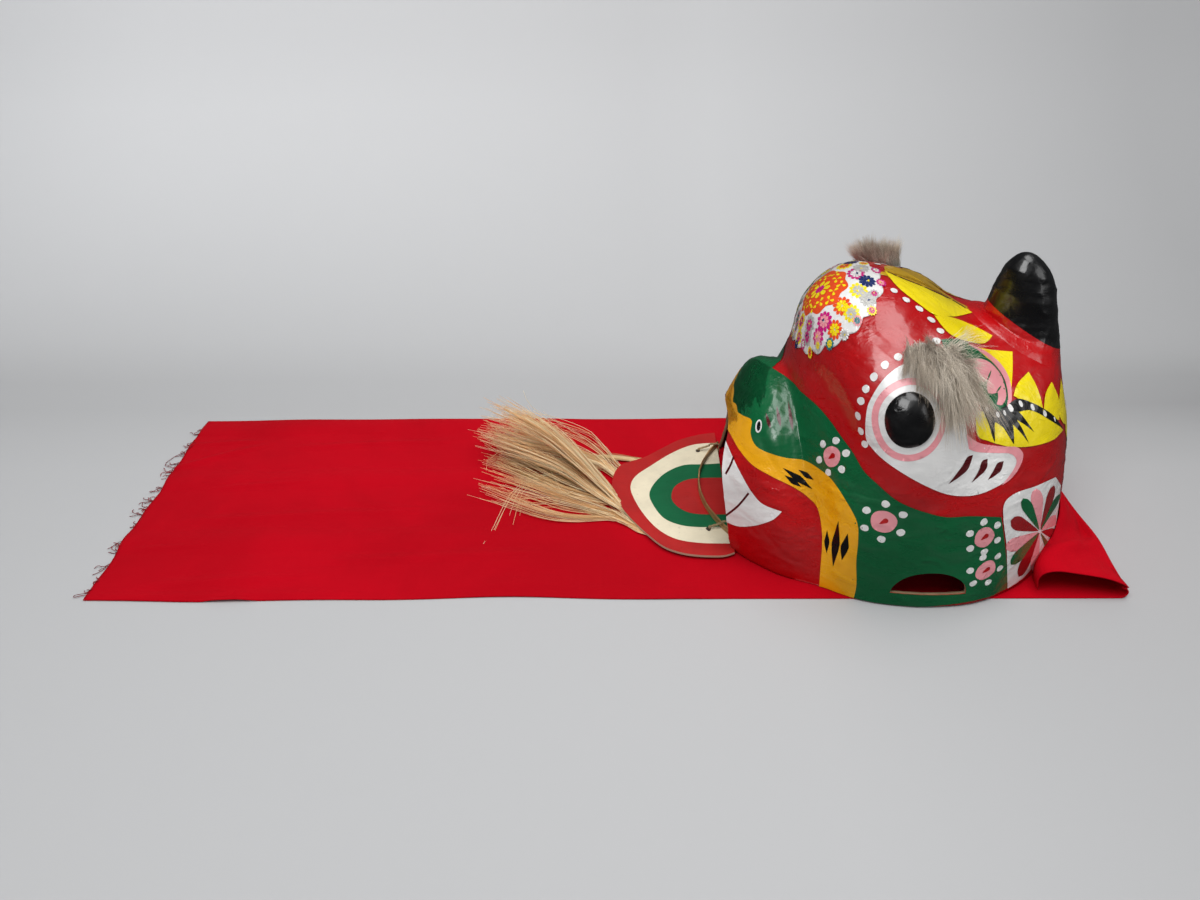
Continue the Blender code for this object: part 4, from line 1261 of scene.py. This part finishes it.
def makeBrow(name, node, mirror):
    places, normals, rises = browRoots()
    count, stations, clumps = brow["hairs"], brow["stations"], brow["clumps"]
    t = np.linspace(0, 1, stations)[None, :, None]
    side = "far" if mirror else "near"
    table = np.array(brow[side])

    def hairs(share, jitter):
        size = len(share)
        index = np.clip((share * (len(places) - 1)).astype(int), 0, len(places) - 1)
        root = places[index] + rises[index] * rng.normal(0, brow["band"], size)[:, None]
        back, down, out, length = (np.interp(share, table[:, 0], table[:, k]) for k in (1, 2, 3, 4))
        back, down, out = (v + rng.normal(0, jitter, size) for v in (back, down, out))
        # A few short hairs stand up along the strip
        short = rng.random(size) < 0.10
        down, length = np.where(short, -0.7, down), np.where(short, 0.010, length)
        aim = (normals[index] * np.maximum(out, 0.15)[:, None] - rises[index] * down[:, None]
               + np.array([1.0, 0.0, 0.0]) * back[:, None])
        return root, unit(aim), length

    first, last = brow["span"][side]
    clumpShare = first + (last - first) * np.sort(rng.random(clumps))
    clumpRoot, clumpAim, clumpLength = hairs(clumpShare, 0.30)
    clumpLength = clumpLength * rng.uniform(0.65, 1.15, clumps)
    share = first + (last - first) * rng.random(count)
    root, aim, length = hairs(share, 0.14)
    clump = np.clip(np.searchsorted(clumpShare, share) + rng.integers(-2, 3, count), 0, clumps - 1)
    own, shared = length * rng.uniform(0.7, 1.1, count), clumpLength[clump] * rng.uniform(0.8, 1.0, count)
    length = 0.5 * own + 0.5 * shared
    gather = rng.uniform(0.55, 0.95, count)[:, None]
    aim = unit(aim * (1 - gather) + clumpAim[clump] * gather)
    pull = (clumpRoot[clump] - root) * rng.uniform(0.3, 0.8, count)[:, None]
    droop = np.array([0.05, 0.0, brow["droop"][side]])
    wave = rng.normal(0, 0.07, (count, 1, 3))
    paths = (root[:, None, :] + pull[:, None, :] * t
             + length[:, None, None] * (aim[:, None, :] * t + droop * t ** 2.2 + wave * np.sin(t * 5.0)))
    # No hair goes through the skin
    flat = paths.reshape(-1, 3)
    for i, place in enumerate(flat):
        near, normal, _, _ = skinTree.find_nearest(Vector(place), 0.006)
        if near is not None:
            normal = normal * outward
            if (Vector(place) - near).dot(normal) < 0.0007:
                flat[i] = np.array(near + normal * (0.0008 + 0.0012 * (i % 7) / 7))
    paths = flat.reshape(paths.shape)
    if mirror:
        paths = paths * np.array([1.0, -1.0, 1.0])
    low, high = np.array(cadBounds[0]), np.array(cadBounds[1])
    paths[..., 1] = np.clip(paths[..., 1], low[1] - 0.016, high[1] + 0.016)
    radii = brow["radius"] * (1.0 - 0.75 * t[..., 0] ** 1.5) * np.ones((count, 1))
    tint = 0.65 * rng.random(clumps)[clump] + 0.35 * rng.random(count)
    made = makeStrands(name, paths, radii, finishes["greyFur"], "root", tint=tint)
    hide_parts(node)


makeBrow("fur_left", "eyebrow_left", False)
makeBrow("fur_right", "eyebrow_right", True)
print("brows made")


board = {
    "back": -0.1424,
    "length": 0.0965,
    "width": 0.180,
    "thickness": 0.0020,
    "step": 0.0015,            # between the corners of its outlines
    "y": 0.0060,
    "z": 0.0031,
    # Outline from the far back corner round the tip: shares of the length and of the half width
    "outline": (
        (0.00, 0.972), (0.16, 0.933), (0.36, 0.833), (0.52, 0.690), (0.69, 0.533), (0.83, 0.450),
        (0.91, 0.400), (0.975, 0.267), (1.00, 0.060), (0.95, -0.200), (0.85, -0.444), (0.69, -0.711),
        (0.555, -0.878), (0.37, -0.967), (0.12, -0.989), (0.00, -0.944),
    ),
    # Painted rings, each from the far back end round to the near one, in metres forward of the
    # back edge and across from the middle of the head
    "rings": {
        "cream": ((0, 0.0760), (0.0216, 0.0730), (0.0416, 0.0600), (0.0606, 0.0410), (0.0756, 0.0240),
                  (0.0806, 0.0080), (0.0776, -0.0100), (0.0696, -0.0320), (0.0586, -0.0510),
                  (0.0446, -0.0630),
                  (0.0246, -0.0680), (0, -0.0685)),
        "green": ((0, 0.0425), (0.0140, 0.0412), (0.0326, 0.0400), (0.0486, 0.0290), (0.0596, 0.0130),
                  (0.0646, -0.0030), (0.0616, -0.0190), (0.0536, -0.0360), (0.0406, -0.0450),
                  (0.0236, -0.0480),
                  (0, -0.0465)),
        "red": ((0, 0.0205), (0.0266, 0.0190), (0.0406, 0.0100), (0.0456, -0.0030), (0.0446, -0.0150),
                (0.0366, -0.0260), (0.0246, -0.0310), (0, -0.0315)),
    },
    "paint": 0.00010,
    "tieX": -0.1594,
    "tieSpread": 0.0565,
    "tieHole": 0.0015,
}


def boardOutline():
    half = board["width"] / 2
    places = [(-board["length"] * along, half * across) for along, across in board["outline"]]
    return smoothOutline(places, closed=False, step=board["step"])


def flatPiece(name, corners, finish):
    # One flat face that rides on the jaw
    face = [tuple(range(len(corners)))]
    return newMesh(name, corners, face, finishes[finish], "jaw", False)


def makeBoard():
    made = flatPiece("jaw_card", [(board["back"] + x, board["y"] + y, board["z"]) for x, y in boardOutline()],
                     "cardboard")
    made.data.materials.append(finishes["board_red"])
    selectOnly(made)
    bpy.ops.object.mode_set(mode="EDIT")
    bpy.ops.mesh.select_all(action="SELECT")
    bpy.ops.mesh.extrude_region_move(TRANSFORM_OT_translate={"value": (0, 0, board["thickness"])})
    bpy.ops.object.mode_set(mode="OBJECT")
    tidyNormals(made)
    for polygon in made.data.polygons:
        if polygon.normal.z > 0.9:
            polygon.material_index = 1
    for side in (-1, 1):
        place = (board["tieX"], board["y"] + side * board["tieSpread"], board["z"])
        bpy.ops.mesh.primitive_cylinder_add(vertices=24, radius=board["tieHole"], depth=0.02, location=place)
        cutter = bpy.context.object
        addCut(made, cutter)
        applyModifiers(made)
        bpy.data.objects.remove(cutter, do_unlink=True)
    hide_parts("jaw_board")
    top = board["z"] + board["thickness"]
    for number, (tone, places) in enumerate(board["rings"].items()):
        z = top + board["paint"] * (number + 1)
        edge = smoothOutline(places, closed=False, step=board["step"])
        ring = flatPiece("jaw_paint_" + tone, [(board["back"] - x, y, z) for x, y in edge], "board_" + tone)
        if ring.data.polygons[0].normal.z < 0:
            ring.data.flip_normals()
    for side, name in ((-1, "left"), (1, "right")):
        # The tie holes as dark discs of painted shade in front of each string
        middle, z = board["y"] + side * board["tieSpread"], top + board["paint"] * 5
        rim = [(board["tieX"] - 0.0012 + x, middle + y, z) for x, y in ellipse(0.0020, 0.0024, 20, 0.12, side)]
        flatPiece("tie_hole_shade_" + name, rim, "insidePaperShade")


makeBoard()
print("board made")


bow = {
    "z": 0.0054,
    "height": 0.0060,
    "thickness": 0.0012,
    "reach": 0.0225,           # of its bend forward of the board's back edge
    "half": 0.0660,            # of its span
    "y": 0.0040,
    "knot": (0.021, 0.0025, 0.0005),   # place across, half width and depth of the bamboo's joint
}


def makeBow():
    steps, across = 90, 6
    points, uvs = [], []
    place, half, depth = bow["knot"]
    for s in range(steps + 1):
        y = bow["half"] * (2 * s / steps - 1)
        x = board["back"] - bow["reach"] * (1.0 - (y / bow["half"]) ** 2) + 0.0006
        x -= depth * math.exp(-((y - place) / half) ** 2)
        for k in range(across + 1):
            share = k / across
            edge = 0.0003 * math.sin(y * 260) if k == across else 0.0
            z = bow["z"] + bow["height"] * share + edge
            points.append((x + 0.0004 * math.sin(math.pi * share), bow["y"] + y, z))
            uvs.append((share * bow["height"], y))
    faces = gridFaces(steps, across)
    made = newMesh("bamboo_strip", points, faces, finishes["bamboo"], "jaw")
    uvMap = made.data.uv_layers.new(name="UVMap")
    for loop in made.data.loops:
        uvMap.data[loop.index].uv = uvs[loop.vertex_index]
    addWall(made, bow["thickness"], 0.0)
    bevel = made.modifiers.new("edge", "BEVEL")
    bevel.width, bevel.segments = 0.00035, 2
    applyModifiers(made)
    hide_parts("bamboo_bow")


makeBow()


def threadPath(points, count):
    # Evenly spaced places on a smooth curve through points
    points = np.array(points, dtype=float)
    last = len(points) - 1
    fine = []
    for i in range(last):
        a, b, c, d = points[max(i - 1, 0)], points[i], points[i + 1], points[min(i + 2, last)]
        t = np.linspace(0, 1, 12, endpoint=False)[:, None]
        fine.append(curveAt(a, b, c, d, t))
    fine = np.concatenate(fine + [points[-1:]])
    runs = runsAlong(fine)
    spots = np.linspace(0, runs[-1], count)
    return np.stack([np.interp(spots, runs, fine[:, k]) for k in range(3)], axis=1), spots


string = {
    "turns": 900.0,            # radians of twist to the metre
    "radius": 0.00034,         # of each ply
    "offset": 0.00033,         # of each ply's middle from the string's
    "corner": 0.0019,
    "gap": 0.0011,             # between the lashing's two turns
    "places": 170,
}


def stringPath(points, ply):
    # One ply of a two-ply string along a path of points
    path, spots = threadPath(points, string["places"])
    ahead = unit(np.gradient(path, axis=0))
    first = unit(np.cross(ahead, np.array([0.0, 1.0, 0.2])))
    second = np.cross(ahead, first)
    angle = spots * string["turns"] + math.pi * ply
    return path + (first * np.cos(angle)[:, None] + second * np.sin(angle)[:, None]) * string["offset"]


def makeTie(name, node, side):
    # A lashing down through the board's hole, under its back edge and over the bow
    y = board["y"] + side * board["tieSpread"]
    low, high = board["z"] - 0.0008, bow["z"] + bow["height"] + 0.0009
    front, back = board["tieX"], board["back"] + 0.0008
    corner = string["corner"]
    # Middle of each bend, the angle where it starts in degrees, and its places
    bends = ((back - corner, high - corner, 0, 7), (back - 0.0070, high - corner, 90, 7),
             (front + 0.0012, board["z"] + 0.0032, 150, 3), (front + corner, low + corner, 180, 7),
             (back - corner, low + corner, 270, 7))
    loop = []
    for cx, cz, start, count in bends:
        loop += [(cx + corner * math.cos(math.radians(start + 15 * s)), y + 0.0008 * (cx - front) / 0.018,
                  cz + corner * math.sin(math.radians(start + 15 * s))) for s in range(count)]
    loop.append(loop[0])
    beside = [(x, across + string["gap"], z) for x, across, z in loop]
    paths = np.array([stringPath(turn, ply) for turn in (loop, beside) for ply in (0, 1)])
    radii = np.full(paths.shape[:2], string["radius"])
    made = makeStrands(name, paths, radii, finishes["string"], "jaw", 6)
    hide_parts(node)


makeTie("string_left", "tie_left", -1)
makeTie("string_right", "tie_right", 1)
print("bow and ties made")


beard = {
    "stations": 18,
    "radius": 0.00031,
    "spread": 0.0066,           # of each lock about its guide, at the tip
    "looseSpread": 0.013,
    "looseCount": 9,
    "filled": 0.85,             # share of the counts below that is made
    "places": 80,               # along a guide
    "least": 0.0011,            # height of its lowest fibres
    "most": 0.0027,             # height of fibres under the board
    # Guides from the board's tip outwards: pixels of the photograph's frame, and height above the floor
    "bright": (
        (120, ((628, 508, 0.0020), (606, 487, 0.012), (575, 456, 0.028), (545, 432, 0.038), (497, 407, 0.045))),
        (90, ((622, 500, 0.0020), (590, 470, 0.020), (560, 440, 0.030), (520, 420, 0.040), (490, 412, 0.042))),
        (85, ((632, 515, 0.0020), (600, 480, 0.012), (570, 452, 0.022), (530, 440, 0.027), (488, 425, 0.028))),
        (80, ((630, 512, 0.0020), (600, 495, 0.008), (565, 470, 0.015), (530, 455, 0.020), (485, 440, 0.020))),
        (75, ((630, 505, 0.0020), (600, 500, 0.003), (560, 490, 0.004), (520, 472, 0.006), (488, 460, 0.006))),
        (80, ((625, 480, 0.0022), (600, 462, 0.006), (560, 450, 0.010), (520, 437, 0.012), (480, 428, 0.012))),
        (60, ((640, 528, 0.0020), (610, 513, 0.003), (570, 502, 0.004), (530, 488, 0.006), (487, 473, 0.008))),
        (36, ((643, 533, 0.0020), (616, 519, 0.002), (575, 519, 0.002), (540, 513, 0.003), (478, 491, 0.004))),
    ),
    # Low, flat locks in the darker copy of the hemp, which is painted shade
    "shaded": (
        (110, ((636, 460, 0.0022), (605, 457, 0.003), (565, 462, 0.004), (522, 457, 0.006), (484, 430, 0.015))),
        (70, ((628, 475, 0.0022), (600, 465, 0.003), (560, 470, 0.003), (525, 463, 0.003), (490, 452, 0.005))),
        (60, ((634, 500, 0.0020), (600, 488, 0.003), (565, 480, 0.003), (530, 478, 0.003), (492, 462, 0.005))),
    ),
    "loose": (
        ((636, 525, 0.0020), (605, 500, 0.003), (560, 478, 0.006), (525, 492, 0.004), (508, 541, 0.001)),
        ((630, 505, 0.0020), (590, 475, 0.008), (548, 446, 0.006), (500, 462, 0.004), (495, 478, 0.002)),
        ((625, 480, 0.0020), (600, 450, 0.012), (560, 425, 0.030), (534, 408, 0.034), (528, 392, 0.040)),
        ((640, 528, 0.0020), (600, 512, 0.003), (555, 500, 0.004), (520, 502, 0.003), (498, 489, 0.003)),
        ((622, 470, 0.0020), (596, 447, 0.004), (580, 437, 0.004), (545, 430, 0.010), (500, 432, 0.012)),
        ((634, 515, 0.0020), (592, 492, 0.003), (560, 504, 0.002), (530, 470, 0.003), (505, 472, 0.003)),
    ),
}


def lockStrands(guide, count, spread, outline):
    # Strands that follow a guide in smaller locks of their own, each with a wave and an end of its own
    stations = beard["stations"]
    places = [pixelAt(*p) for p in guide]
    places.insert(0, places[0] + Vector((0.016, -0.15 * (places[1].y - places[0].y), -0.0004)))
    places.append(places[-1] + (places[-1] - places[-2]) * 0.12)
    path, _ = threadPath(places, beard["places"])
    ahead = np.gradient(path, axis=0)
    ahead[:, 2] = 0.0
    ahead = unit(ahead)
    aside = np.stack([-ahead[:, 1], ahead[:, 0], ahead[:, 2]], axis=1)
    ends = rng.uniform(0.70, 1.0, (count, 1))
    spots = np.linspace(0, 1, stations)[None, :] * ends
    fine = np.linspace(0, 1, beard["places"])
    strands, side = (np.stack([np.interp(spots, fine, values[:, k]) for k in range(3)], axis=2)
                     for values in (path, aside))
    groups = max(count // 9, 1)
    group = rng.integers(0, groups, count)
    shift = rng.normal(0, 1.0, (groups, 2))[group] * 0.65 + rng.normal(0, 0.80, (count, 2))
    opening = (0.0009 + spread * spots ** 1.25)[..., None]
    wave = (rng.normal(0, 0.0025, (count, 1)) * spots
            * np.sin(spots * rng.uniform(5, 15, (count, 1)) + rng.uniform(0, 6.28, (count, 1))))
    bend, turns, phase = (rng.normal(0, 0.0016, (groups, 1)), rng.uniform(4, 9, (groups, 1)),
                          rng.uniform(0, 6.28, (groups, 1)))
    groupWave = bend[group] * spots * np.sin(spots * turns[group] + phase[group])
    strands += side * (shift[:, :1, None] * opening + (wave + groupWave)[..., None])
    strands[..., 2] += (shift[:, 1:] * opening[..., 0] * 0.55 + wave * 0.6) * np.clip(spots * 2.5, 0, 1)
    covered = insideOutlines(strands[..., :2].reshape(-1, 2), [outline]).reshape(strands.shape[:2])
    low = beard["least"]
    strands[..., 2] = np.where(covered, np.clip(strands[..., 2], low, beard["most"]),
                               np.maximum(strands[..., 2], low))
    return strands


def makeBeard():
    outline = [(board["back"] + x, board["y"] + y) for x, y in boardOutline()]
    for tone, finish in (("bright", "hempFibre"), ("shaded", "hempShade")):
        locks = [lockStrands(guide, int(count * beard["filled"]), beard["spread"], outline)
                 for count, guide in beard[tone]]
        if tone == "bright":
            locks += [lockStrands(guide, beard["looseCount"], beard["looseSpread"], outline)
                      for guide in beard["loose"]]
        paths = np.concatenate(locks)
        t = np.linspace(0, 1, beard["stations"])[None, :]
        radii = beard["radius"] * (1.0 - 0.5 * t ** 2) * rng.uniform(0.7, 1.3, (len(paths), 1))
        made = makeStrands("hemp_fibres_" + tone, paths, radii, finishes[finish], "jaw")
        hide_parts("hemp_beard")


makeBeard()
print("beard made")


cloth = {
    "width": 0.253,
    "front": 0.638,             # from the origin to the frayed end
    "fold": 0.1430,
    "foldHeight": 0.0100,
    "wrapHeight": 0.0240,
    "wrapShare": 0.90,
    "thickness": 0.0007,
    "across": 150,
    "cell": 0.0032,
    # Creases along the cloth: both ends in pixels of the photograph's frame, half width and height
    "creases": (
        ((172, 469), (262, 446), 0.0036, 0.0022), ((196, 445), (262, 441), 0.0030, 0.0014),
        ((214, 488), (345, 480), 0.0038, 0.0018), ((120, 549), (330, 540), 0.0042, 0.0017),
        ((150, 583), (300, 575), 0.0050, 0.0015), ((190, 520), (420, 510), 0.0050, 0.0015),
        ((300, 447), (450, 441), 0.0040, 0.0015), ((330, 560), (590, 552), 0.0055, 0.0016),
        ((92, 595), (330, 593), 0.0040, 0.0012), ((205, 601), (252, 600), 0.0060, 0.0024),
        ((470, 585), (700, 583), 0.0070, 0.0012), ((360, 432), (470, 428), 0.0050, 0.0012),
        ((420, 530), (640, 545), 0.0060, 0.0007), ((345, 500), (470, 520), 0.0060, 0.0008),
    ),
    # Near edge of the turned-back layer, from the fold to where it curls down: X and height
    "curledEdge": ((0.1410, 0.0100), (0.1361, 0.0135), (0.1232, 0.0180), (0.1030, 0.0210), (0.0880, 0.0222),
                   (0.0790, 0.0190), (0.0764, 0.0125), (0.0778, 0.0060), (0.0790, 0.0022)),
    "curledEdgeY": -0.1185,
    "crest": ((0.0860, -0.0985), (0.1040, -0.0930), (0.1240, -0.0850), (0.1420, -0.0720)),   # its raised crease
    # Waves: height, turns to the metre of X and of Y in radians, phase
    "folds": ((0.0013, 2.5, 74, 1.0), (0.0009, -6, 148, 0.4), (0.0004, 47, -31, 0.0)),
    "sway": ((0.0016, 17, 0, 0.6), (0.0007, 41, 0, 2.0)),
    "farSway": ((0.0007, 13, 0, 1.0), (0.0004, 33, 0, 0.0)),
    "cutEnd": ((0.0008, 0, 52, 0.5), (0.0005, 0, 131, 0.0)),
    "still": (-0.262, -0.150),   # X where the head and the board stop resting on it
}


def creaseLift(places):
    lift = np.zeros(len(places))
    for first, second, half, height in cloth["creases"]:
        start, end = np.array(pixelAt(*first, 0.0007))[:2], np.array(pixelAt(*second, 0.0007))[:2]
        way = end - start
        share = ((places - start) @ way) / (way @ way)
        wander = 0.12 * half * np.sin(share * 9.0)
        away = (places - start) @ np.array([-way[1], way[0]]) / np.linalg.norm(way) + wander
        ends = sharePast(share, -0.12, 0.30) * sharePast(share, 1.18, -0.45)
        lift = np.maximum(lift, height * np.exp(-(away / half) ** 2) * ends)
    return lift


curledEdge = threadPath([(x, 0.0, z) for x, z in cloth["curledEdge"]], 30)[0]
crestLine = np.array(cloth["crest"])


def clothLine(yShare):
    # Underside of the cloth along its length: flat part, round the fold, up to the shell's back
    radius = cloth["foldHeight"] / 2
    y = yShare * cloth["width"] / 2
    bulge = 0.0030 * math.exp(-((abs(y) - 0.066) / 0.026) ** 2) - 0.0012 * abs(yShare) ** 6
    flatEnd = cloth["fold"] - radius + bulge
    flat = np.linspace(-cloth["front"], flatEnd, int((cloth["fold"] + cloth["front"]) / cloth["cell"]))
    count = len(flat)
    line = np.stack([flat, np.full(count, y), np.zeros(count)], axis=1)
    # Still where the head, the board and the beard rest on it, loose well away from them
    headStill, boardStill = cloth["still"]
    loose = sharePast(flat, headStill, -0.05)
    nearSide = sharePast(y, -0.112, -0.006) * sharePast(flat, boardStill, -0.03)
    folds = np.maximum(waves(cloth["folds"], flat, y), 0.0) * 0.8
    line[:, 2] += np.maximum(creaseLift(line[:, :2]), folds) * np.maximum(loose, nearSide)
    if y < 0:
        sway = waves(cloth["sway"], flat, y) - 0.0026 * sharePast(flat, -0.50, -0.12)
    else:
        sway = waves(cloth["farSway"], flat, y)
    line[:, 1] += sharePast(flat, boardStill, -0.05) * sway * abs(yShare) ** 3
    # The cut end is not quite straight
    cutEnd = waves(cloth["cutEnd"], 0.0, y) - 0.0020 * max(-yShare - 0.6, 0.0)
    line[:, 0] += cutEnd * sharePast(flat, -0.56, -0.078)
    turn = np.linspace(0, math.pi, 14)[1:]
    bend = np.stack([flatEnd + radius * np.sin(turn), np.full(13, y), radius * (1 - np.cos(turn))], axis=1)
    wrapY = y * cloth["wrapShare"]
    hit = skinTree.ray_cast(Vector((head["length"], wrapY, cloth["wrapHeight"])), Vector((-1, 0, 0)))[0]
    wallX = hit.x + 0.0015
    share = np.linspace(0, 1, 31)[1:]
    upper = np.stack([flatEnd + (wallX - flatEnd) * share, y + (wrapY - y) * eased(share),
                      cloth["foldHeight"] + (cloth["wrapHeight"] - cloth["foldHeight"]) * eased(share)], axis=1)
    near = -1.0 if y < 0 else 1.0
    crestY = np.interp(upper[:, 0], crestLine[:, 0], crestLine[:, 1])
    off = upper[:, 1] * -near - crestY
    ends = np.clip((upper[:, 0] - 0.080) / 0.010, 0.3, 1.0)
    crease, hollow = np.exp(-(off / 0.007) ** 2), np.exp(-((off - 0.017) / 0.011) ** 2)
    upper[:, 2] += ends * (0.0032 * crease - 0.0042 * hollow)
    upper[:, 2] += 0.0008 * np.sin(share * 14 + yShare * 9) * np.sin(math.pi * share)
    curl = eased(sharePast(abs(yShare), 0.70, 0.30))
    edgeY = np.interp(share, [0, 1], [y, -near * cloth["curledEdgeY"] * abs(yShare)])
    edge = np.stack([curledEdge[:, 0], edgeY, curledEdge[:, 2]], axis=1)
    upper = upper * (1 - curl) + edge * curl
    return np.concatenate([line, bend, upper])


def makeCloth():
    stations = np.array([clothLine(2 * s / cloth["across"] - 1) for s in range(cloth["across"] + 1)])
    across, along, _ = stations.shape
    made = newMesh("cotton_cloth", stations.reshape(-1, 3), gridFaces(across - 1, along - 1),
                   finishes["redCotton"], "root")
    middle = stations[across // 2]
    runs = runsAlong(middle)
    uv = made.data.uv_layers.new(name="UVMap")
    vertexUv = np.stack([np.tile(runs, across), np.repeat(np.linspace(0, cloth["width"], across), along)], axis=1)
    corner = np.zeros(len(made.data.loops), dtype=np.int32)
    made.data.loops.foreach_get("vertex_index", corner)
    uv.data.foreach_set("uv", vertexUv[corner].astype(np.float32).ravel())
    if made.data.polygons[0].normal.z < 0:
        made.data.flip_normals()
    addWall(made, cloth["thickness"], 1.0)
    applyModifiers(made)
    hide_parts("body_cloth")
    return made, float(runs[-1])


fringe = {
    "stations": 14,
    "clusters": 17,
    "length": (0.006, 0.0140),
    "radius": 0.00030,
    # Two long loops: pixels of the photograph's frame, and height above the floor
    "loops": (
        ((196, 443, 0.001), (184, 452, 0.002), (174, 457, 0.001), (165, 465, 0.001), (176, 468, 0.001)),
        ((90, 593, 0.001), (81, 594, 0.002), (74, 595.5, 0.001), (74, 597.5, 0.001), (80, 596, 0.001),
         (89, 594.5, 0.001)),
    ),
}


def makeFringe():
    # Threads that have come loose at the cut front end, in curled clusters, with two long loops
    stations, clusters = fringe["stations"], fringe["clusters"]
    t = np.linspace(0, 1, stations)
    paths = []
    for cluster in range(clusters):
        y = cloth["width"] * (-0.48 + 0.96 * (cluster + rng.uniform(0.1, 0.9)) / clusters)
        size = rng.uniform(*fringe["length"])
        for _ in range(rng.integers(3, 7)):
            heading = math.pi + rng.normal(0, 0.55) + rng.normal(0, 1.3) * t
            heading = heading + 0.7 * np.sin(t * rng.uniform(3, 9))
            step = size * rng.uniform(0.5, 1.3) / stations
            start = -cloth["front"] + 0.0008 * math.sin(y * 52 + 0.5) + 0.0012
            x = start + np.cumsum(np.cos(heading)) * step
            across = y + rng.normal(0, 0.0016) + np.cumsum(np.sin(heading)) * step
            z = 0.0006 + 0.0012 * np.sin(math.pi * t) * rng.random()
            paths.append(np.stack([np.maximum(x, cadBounds[0][0] - 0.026), across, z], axis=1))
    paths += [threadPath([pixelAt(*p) for p in loop], stations)[0] for loop in fringe["loops"]]
    radii = np.full((len(paths), stations), fringe["radius"])
    return makeStrands("loose_threads", np.array(paths), radii, finishes["redThread"], "root")


clothPiece, clothLength = makeCloth()
threads = makeFringe()
print("cloth made")


studio = {
    "key": {"place": (-0.55, -0.55, 1.50), "size": 0.8, "power": 13.0},
    "top": {"place": (0.25, 0.10, 1.70), "size": 1.0, "power": 13.0},
    "side": {"place": (1.30, -0.60, 1.00), "size": 0.8, "power": 4.0},
    "world": 0.36,
    "reflected": 0.05,
    "floor": -0.0002,
    "reach": 3.0,                # of the backdrop to each side and in front
    # Profile of the backdrop, as (Y, Z)
    "backdrop": ((0.26, -0.0002), (0.30, -0.0002), (0.42, 0.012), (0.56, 0.05), (0.70, 0.13), (0.80, 0.25),
                 (0.86, 0.42), (0.88, 0.80), (0.88, 2.6)),
}


def makeStudio():
    # A paper sweep: the floor curves up into the wall behind
    floor, reach = studio["floor"], studio["reach"]
    curve, _ = threadPath([(0.0, y, z) for y, z in studio["backdrop"]], 160)
    curve[:, 2] = np.maximum(curve[:, 2], floor)
    level = np.linspace(-reach, curve[0, 1], 60, endpoint=False)
    profile = np.concatenate([np.stack([0 * level, level, np.full(60, floor)], axis=1), curve])
    sides = np.linspace(-reach, reach, 61)
    points = np.concatenate([profile + np.array([side, 0.0, 0.0]) for side in sides])
    count = len(profile)
    mesh = bpy.data.meshes.new("backdrop")
    mesh.from_pydata([tuple(p) for p in points], [], gridFaces(len(sides) - 1, count - 1).tolist())
    mesh.polygons.foreach_set("use_smooth", [True] * len(mesh.polygons))
    mesh.materials.append(finishes["studioFloor"])
    # Painted light and shade: lighter up on the left, darker to the right and in a painted shadow band before it
    # curves up
    x, y, _ = points.T
    up, left, right = sharePast(y, 0.23, 0.50) ** 0.8, sharePast(x, -0.20, -0.75), sharePast(x, -0.10, 0.60)
    paintedLight = (0.44 + up * (0.18 + 0.33 * left) - right * (0.20 + 0.05 * up)
             - 0.06 * (1 + 2 * right) * np.exp(-((y - 0.16) / 0.07) ** 2))
    mesh.attributes.new("shade", "FLOAT", "POINT").data.foreach_set("value", paintedLight.astype(np.float32))
    backdrop = bpy.data.objects.new("backdrop", mesh)
    backdrop.visible_glossy = False
    bpy.context.scene.collection.objects.link(backdrop)
    for name in ("key", "top", "side"):
        data = bpy.data.lights.new(name, "AREA")
        data.shape = "SQUARE"
        data.size, data.energy = studio[name]["size"], studio[name]["power"]
        lamp = bpy.data.objects.new(name, data)
        lamp.location = studio[name]["place"]
        lamp.rotation_euler = (Vector((-0.1, 0.0, 0.05)) - lamp.location).to_track_quat("-Z", "Y").to_euler()
        bpy.context.scene.collection.objects.link(lamp)
    world = bpy.data.worlds.new("studio")
    world.use_nodes = True
    background = world.node_tree.nodes["Background"]
    background.inputs["Color"].default_value = (0.86, 0.88, 0.92, 1.0)
    # Dim in reflections, as in a dark room with lamps
    rays = world.node_tree.nodes.new("ShaderNodeLightPath")
    strength = world.node_tree.nodes.new("ShaderNodeMapRange")
    strength.inputs["To Min"].default_value = studio["world"]
    strength.inputs["To Max"].default_value = studio["reflected"]
    world.node_tree.links.new(rays.outputs["Is Glossy Ray"], strength.inputs["Value"])
    world.node_tree.links.new(strength.outputs["Result"], background.inputs["Strength"])
    bpy.context.scene.world = world
    bpy.context.scene.view_settings.view_transform = "Standard"


makeStudio()
print("studio made")
